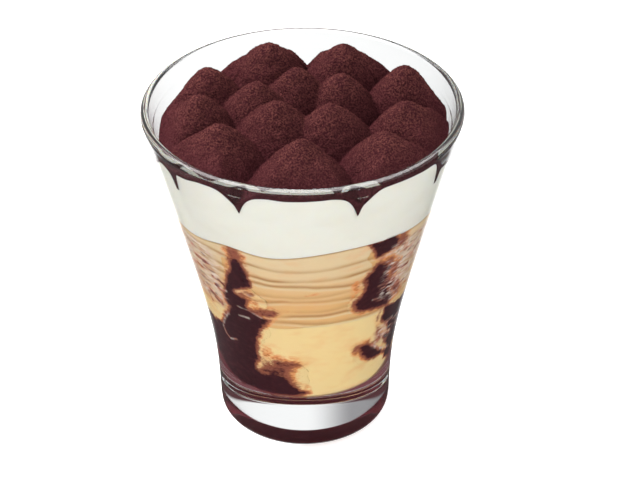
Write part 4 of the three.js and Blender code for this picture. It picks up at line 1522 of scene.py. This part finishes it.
def scatter_tree(material):
    """Geometry Nodes that scatter small grains over a surface and keep only the grains.

    The random sizes and turns have numbered sockets, because their sockets share names.
    """
    tree = bpy.data.node_groups.new("cocoa_grains", "GeometryNodeTree")
    tree.interface.new_socket("Surface", in_out="INPUT", socket_type="NodeSocketGeometry")
    for name, kind in (
        ("Spacing", "NodeSocketFloat"),
        ("Smallest", "NodeSocketFloat"),
        ("Largest", "NodeSocketFloat"),
        ("Seed", "NodeSocketInt"),
    ):
        tree.interface.new_socket(name, in_out="INPUT", socket_type=kind)
    tree.interface.new_socket("Grains", in_out="OUTPUT", socket_type="NodeSocketGeometry")

    def add(kind, **options):
        node = tree.nodes.new(kind)
        for option, value in options.items():
            setattr(node, option, value)
        return node

    source, sink = add("NodeGroupInput"), add("NodeGroupOutput")
    points = add("GeometryNodeDistributePointsOnFaces", distribute_method="POISSON")
    normal = add("GeometryNodeInputNormal")
    upward = add("ShaderNodeSeparateXYZ")
    facing = add("FunctionNodeCompare", data_type="FLOAT", operation="GREATER_THAN")
    size = add("FunctionNodeRandomValue", data_type="FLOAT")
    turn = add("FunctionNodeRandomValue", data_type="FLOAT_VECTOR")
    grain = add("GeometryNodeMeshIcoSphere")
    copies = add("GeometryNodeInstanceOnPoints")
    joined = add("GeometryNodeRealizeInstances")
    finish = add("GeometryNodeSetMaterial")
    link = tree.links.new
    link(source.outputs["Surface"], points.inputs["Mesh"])
    link(source.outputs["Spacing"], points.inputs["Distance Min"])
    link(source.outputs["Seed"], points.inputs["Seed"])
    points.inputs["Density Max"].default_value = GRAIN_DENSITY
    link(normal.outputs["Normal"], upward.inputs["Vector"])
    link(upward.outputs["Z"], facing.inputs["A"])
    facing.inputs["B"].default_value = GRAIN_SLOPE
    link(facing.outputs["Result"], points.inputs["Selection"])
    link(source.outputs["Smallest"], size.inputs[2])
    link(source.outputs["Largest"], size.inputs[3])
    turn.inputs[1].default_value = (math.tau, math.tau, math.tau)
    grain.inputs["Radius"].default_value = 1.0
    grain.inputs["Subdivisions"].default_value = 1
    link(points.outputs["Points"], copies.inputs["Points"])
    link(grain.outputs["Mesh"], copies.inputs["Instance"])
    link(size.outputs[1], copies.inputs["Scale"])
    link(turn.outputs["Value"], copies.inputs["Rotation"])
    link(copies.outputs["Instances"], joined.inputs["Geometry"])
    link(joined.outputs["Geometry"], finish.inputs["Geometry"])
    finish.inputs["Material"].default_value = material
    link(finish.outputs["Geometry"], sink.inputs["Grains"])
    return tree


def grown(name, tree, source, values):
    """The plain mesh that Geometry Nodes grow on a copy of another piece's mesh."""
    holder = bpy.data.objects.new(name + "_holder", source.data.copy())
    bpy.context.scene.collection.objects.link(holder)
    modifier = holder.modifiers.new("scatter", "NODES")
    modifier.node_group = tree
    sockets = {item.name: item.identifier for item in tree.interface.items_tree if item.in_out == "INPUT"}
    for key, value in values.items():
        modifier[sockets[key]] = value
    graph = bpy.context.evaluated_depsgraph_get()
    mesh = bpy.data.meshes.new_from_object(holder.evaluated_get(graph), depsgraph=graph)
    mesh.name = name
    bpy.data.objects.remove(holder)
    return mesh


# ---------------------------------------------------------------- operators


class DESSERT_OT_glass(bpy.types.Operator):
    """Make the clear tumbler with its thick foot and rounded lip"""

    bl_idname = "dessert.glass"
    bl_label = "Glass"

    def execute(self, context):
        settings = context.scene.dessert_glass
        make_piece("glass_tumbler", glass_mesh(settings), glass_material(settings), "glass", "glass")
        return {"FINISHED"}


class DESSERT_OT_cocoa(bpy.types.Operator):
    """Make the cocoa coat over the piped peaks, with its loose grains"""

    bl_idname = "dessert.cocoa"
    bl_label = "Cocoa"

    def execute(self, context):
        scene = context.scene
        piping, grains = scene.dessert_piping, scene.dessert_grains
        material = cocoa_material(piping)
        mesh = coat_mesh(piping, scene.dessert_glass, scene.dessert_fill)
        coat = make_piece("cocoa_powder_coat", mesh, material, "cocoa", "cocoa_coat")
        values = {
            "Spacing": grains.spacing,
            "Smallest": grains.smallest,
            "Largest": grains.largest,
            "Seed": grains.seed,
        }
        loose = grown("cocoa_loose_fine", scatter_tree(material), coat, values)
        make_piece("cocoa_loose_grains", loose, material, "cocoa")
        return {"FINISHED"}


class DESSERT_OT_cream(bpy.types.Operator):
    """Make the piped cream under the cocoa"""

    bl_idname = "dessert.cream"
    bl_label = "Cream"

    def execute(self, context):
        scene = context.scene
        mesh = cream_mesh(scene.dessert_piping, scene.dessert_glass, scene.dessert_fill)
        make_piece("cream_piped", mesh, cream_material(scene.dessert_piping), "cream", "cream_peaks")
        return {"FINISHED"}


class DESSERT_OT_sponge(bpy.types.Operator):
    """Make the pieces of coffee-soaked sponge against the glass"""

    bl_idname = "dessert.sponge"
    bl_label = "Sponge"

    def execute(self, context):
        glass = GlassForm(context.scene.dessert_glass)
        settings = context.scene.dessert_fill
        material = sponge_material(settings)
        for number, (node, lumps) in enumerate(SPONGES.items()):
            mesh = sponge_mesh(node, lumps, glass, settings, number)
            make_piece(node + "_crumb", mesh, material, "sponge", node)
        return {"FINISHED"}


class DESSERT_OT_custard(bpy.types.Operator):
    """Make the folded and the smooth custard, stained near the sponge"""

    bl_idname = "dessert.custard"
    bl_label = "Custard"

    def execute(self, context):
        glass = GlassForm(context.scene.dessert_glass)
        settings = context.scene.dessert_fill
        angles = ring_angles(settings.sides)
        floor = np.full(settings.sides, glass.base - BASE_SINK)
        for name, node, low, high, upper, lower in (
            ("custard_upper", "custard_folded", fold_line(angles), cream_line(angles), "pale", "folded"),
            ("custard_lower", "custard_smooth", floor, fold_line(angles), "folded", "golden"),
        ):
            mesh = layer_mesh(name + "_fine", glass, low, high, settings)
            colors = (getattr(settings, upper), getattr(settings, lower))
            make_piece(name, mesh, custard_material(name, *colors, settings), node, node)
        return {"FINISHED"}


class DESSERT_OT_stage(bpy.types.Operator):
    """Set the pale floor, the soft lights and the camera"""

    bl_idname = "dessert.stage"
    bl_label = "Stage"

    def execute(self, context):
        scene = context.scene
        settings = scene.dessert_stage
        scene.view_settings.view_transform = "Standard"
        self.lay_floor(settings)
        self.light_sky(scene, settings)
        middle = Vector((0, 0, scene.dessert_glass.height / 2))
        self.hang_light("key_light", settings.key, KEY_PLACE, middle, KEY_SIZE)
        self.hang_light("fill_light", settings.fill, FILL_PLACE, middle, FILL_SIZE)
        self.place_camera(scene, settings, middle)
        return {"FINISHED"}

    def lay_floor(self, settings):
        """The floor. The camera sees it pale, and glass and gloss show it darker."""
        corners = [(x * FLOOR_HALF, y * FLOOR_HALF, -FLOOR_DROP) for x in (-1, 1) for y in (-1, 1)]
        mesh = bpy.data.meshes.new("floor")
        mesh.from_pydata(corners, [], [(0, 2, 3, 1)])
        shader = Shader("floor")
        path = shader.add("LightPath").outputs
        through = shader.seen_through()
        gloss = shader.ever_mirrored()
        hidden = shader.math("SUBTRACT", 1.0, self.floor_in_gloss(shader, settings))
        shown = shader.math("SUBTRACT", 1.0, shader.math("MULTIPLY", gloss, hidden))
        soft = tuple(value * settings.bounce for value in settings.floor_color)
        base = shader.mix(path["Is Diffuse Ray"], settings.floor_color, soft)
        base = shader.mix(shown, BLACK, base)
        base = shader.mix(through, base, shader.mix(settings.dimmed, BLACK, base))

        # Painted contact shade: round the foot the floor is dark maroon, with a faint maroon glow, wherever
        # the glass shows it.
        place = shader.add("TexCoord").outputs["Object"]
        apart = shader.add("VectorMath", {0: place}, operation="LENGTH").outputs["Value"]
        reach = settings.contact_reach
        close = shader.spread(apart, reach * CONTACT_FADE, reach, 1.0, 0.0)
        close = shader.math("MULTIPLY", close, through)
        base = shader.mix(close, base, settings.band_color)
        glow = shader.mix(close, WHITE, settings.contact_glow)
        lift = shader.math("MULTIPLY", settings.lift, shader.math("SUBTRACT", 1.0, through))
        lift = shader.math("ADD", lift, shader.math("MULTIPLY", close, settings.lift))
        surface = shader.add(
            "BsdfPrincipled",
            {
                "Base Color": base,
                "Roughness": 1.0,
                "Specular IOR Level": 0.0,
                "Emission Color": glow,
                "Emission Strength": shader.math("MULTIPLY", shown, lift),
            },
        )
        mesh.materials.append(shader.finish(surface.outputs["BSDF"]))
        floor = bpy.data.objects.new("floor", mesh)
        bpy.context.scene.collection.objects.link(floor)

    def floor_in_gloss(self, shader, settings):
        """Share of the floor that gloss shows: dark in front, white behind, less at the very edge."""
        place = shader.parts("Object")
        away = shader.math("ABSOLUTE", place["X"])
        beside = shader.math("SUBTRACT", away, place["Y"])
        back = shader.spread(beside, *GLOSS_BACK, settings.behind, settings.reflected)
        slanted = shader.math("SUBTRACT", away, shader.math("MULTIPLY", place["Y"], GLOSS_SLANT))
        return shader.math("MULTIPLY", back, shader.spread(slanted, *GLOSS_EDGE, settings.edge_line, 1.0))

    def light_sky(self, scene, settings):
        """Even light all round, with a panel overhead for gloss and a dark band low down for glass."""
        world = bpy.data.worlds.new("studio")
        world.use_nodes = True
        nodes = Nodes(world.node_tree)
        way = nodes.parts("Generated")
        panel = nodes.spread(way["Z"], *PANEL_EDGE, 0.0, settings.zenith)
        extra = nodes.math("MULTIPLY", nodes.mirrored(), panel)
        glass_only = nodes.seen_through()
        clear = nodes.math("MULTIPLY", glass_only, settings.clear - settings.sky)
        strength = nodes.math("ADD", nodes.math("ADD", settings.sky, clear), extra)
        aside = nodes.math("MULTIPLY", nodes.math("ABSOLUTE", way["X"]), BAND_SLANT)
        height = nodes.math("SUBTRACT", way["Z"], aside)
        low = nodes.spread(height, settings.band_top - BAND_FADE, settings.band_top, 1.0, 0.0)
        side = nodes.math("MULTIPLY", way["X"], -1.0)
        side = nodes.spread(side, 0.0, SHADE_EDGE, 0.0, settings.shade)
        shaded = nodes.mix(nodes.math("MULTIPLY", side, glass_only), WHITE, settings.shade_color)
        banded = nodes.mix(nodes.math("MULTIPLY", low, glass_only), shaded, settings.band_color)
        sky = nodes.add("Background", {"Color": banded, "Strength": strength})
        output = nodes.add("OutputWorld", {"Surface": sky.outputs["Background"]})
        output.is_active_output = True
        scene.world = world

    def hang_light(self, name, power, place, target, size):
        """A soft square lamp that glass and gloss don't show."""
        lamp = bpy.data.lights.new(name, "AREA")
        lamp.energy = power
        lamp.size = size
        holder = bpy.data.objects.new(name, lamp)
        holder.visible_glossy = False
        holder.visible_transmission = False
        holder.location = place
        holder.rotation_euler = (target - Vector(place)).to_track_quat("-Z", "Y").to_euler()
        bpy.context.scene.collection.objects.link(holder)

    def place_camera(self, scene, settings, middle):
        """A camera in front that looks down at the middle of the glass."""
        lens = bpy.data.cameras.new("camera")
        lens.lens = settings.lens
        lens.sensor_width = SENSOR_WIDTH
        lens.shift_x, lens.shift_y = settings.shift
        lens.clip_start = NEAREST
        holder = bpy.data.objects.new("camera", lens)
        back = Vector((0, -math.cos(settings.elevation), math.sin(settings.elevation)))
        holder.location = middle + back * settings.distance
        turn = (-back).to_track_quat("-Z", "Y").to_matrix().to_4x4()
        roll = Matrix.Rotation(settings.roll, 4, "Z")
        holder.rotation_euler = (turn @ roll).to_euler()
        scene.collection.objects.link(holder)
        scene.camera = holder


class DESSERT_PT_panel(bpy.types.Panel):
    """Buttons that build the dessert, a piece at a time."""

    bl_label = "Dessert"
    bl_idname = "DESSERT_PT_panel"
    bl_space_type = "VIEW_3D"
    bl_region_type = "UI"
    bl_category = "Dessert"

    def draw(self, context):
        for name in STEPS:
            self.layout.operator("dessert." + name)


STEPS = ("glass", "cocoa", "cream", "sponge", "custard", "stage")
SETTINGS = {
    "dessert_glass": GlassSettings,
    "dessert_piping": PipingSettings,
    "dessert_fill": FillSettings,
    "dessert_grains": GrainSettings,
    "dessert_stage": StageSettings,
}
CLASSES = (
    *SETTINGS.values(),
    DESSERT_OT_glass,
    DESSERT_OT_cocoa,
    DESSERT_OT_cream,
    DESSERT_OT_sponge,
    DESSERT_OT_custard,
    DESSERT_OT_stage,
    DESSERT_PT_panel,
)


def register():
    """Make the settings, the operators and the panel known."""
    for part in CLASSES:
        bpy.utils.register_class(part)
    for name, group in SETTINGS.items():
        setattr(bpy.types.Scene, name, PointerProperty(type=group))


def unregister():
    """Take them away again."""
    for name in SETTINGS:
        delattr(bpy.types.Scene, name)
    for part in reversed(CLASSES):
        bpy.utils.unregister_class(part)


def main():
    """Build every piece and the stage."""
    register()
    for name in STEPS:
        getattr(bpy.ops.dessert, name)()


if __name__ == "__main__":
    main()
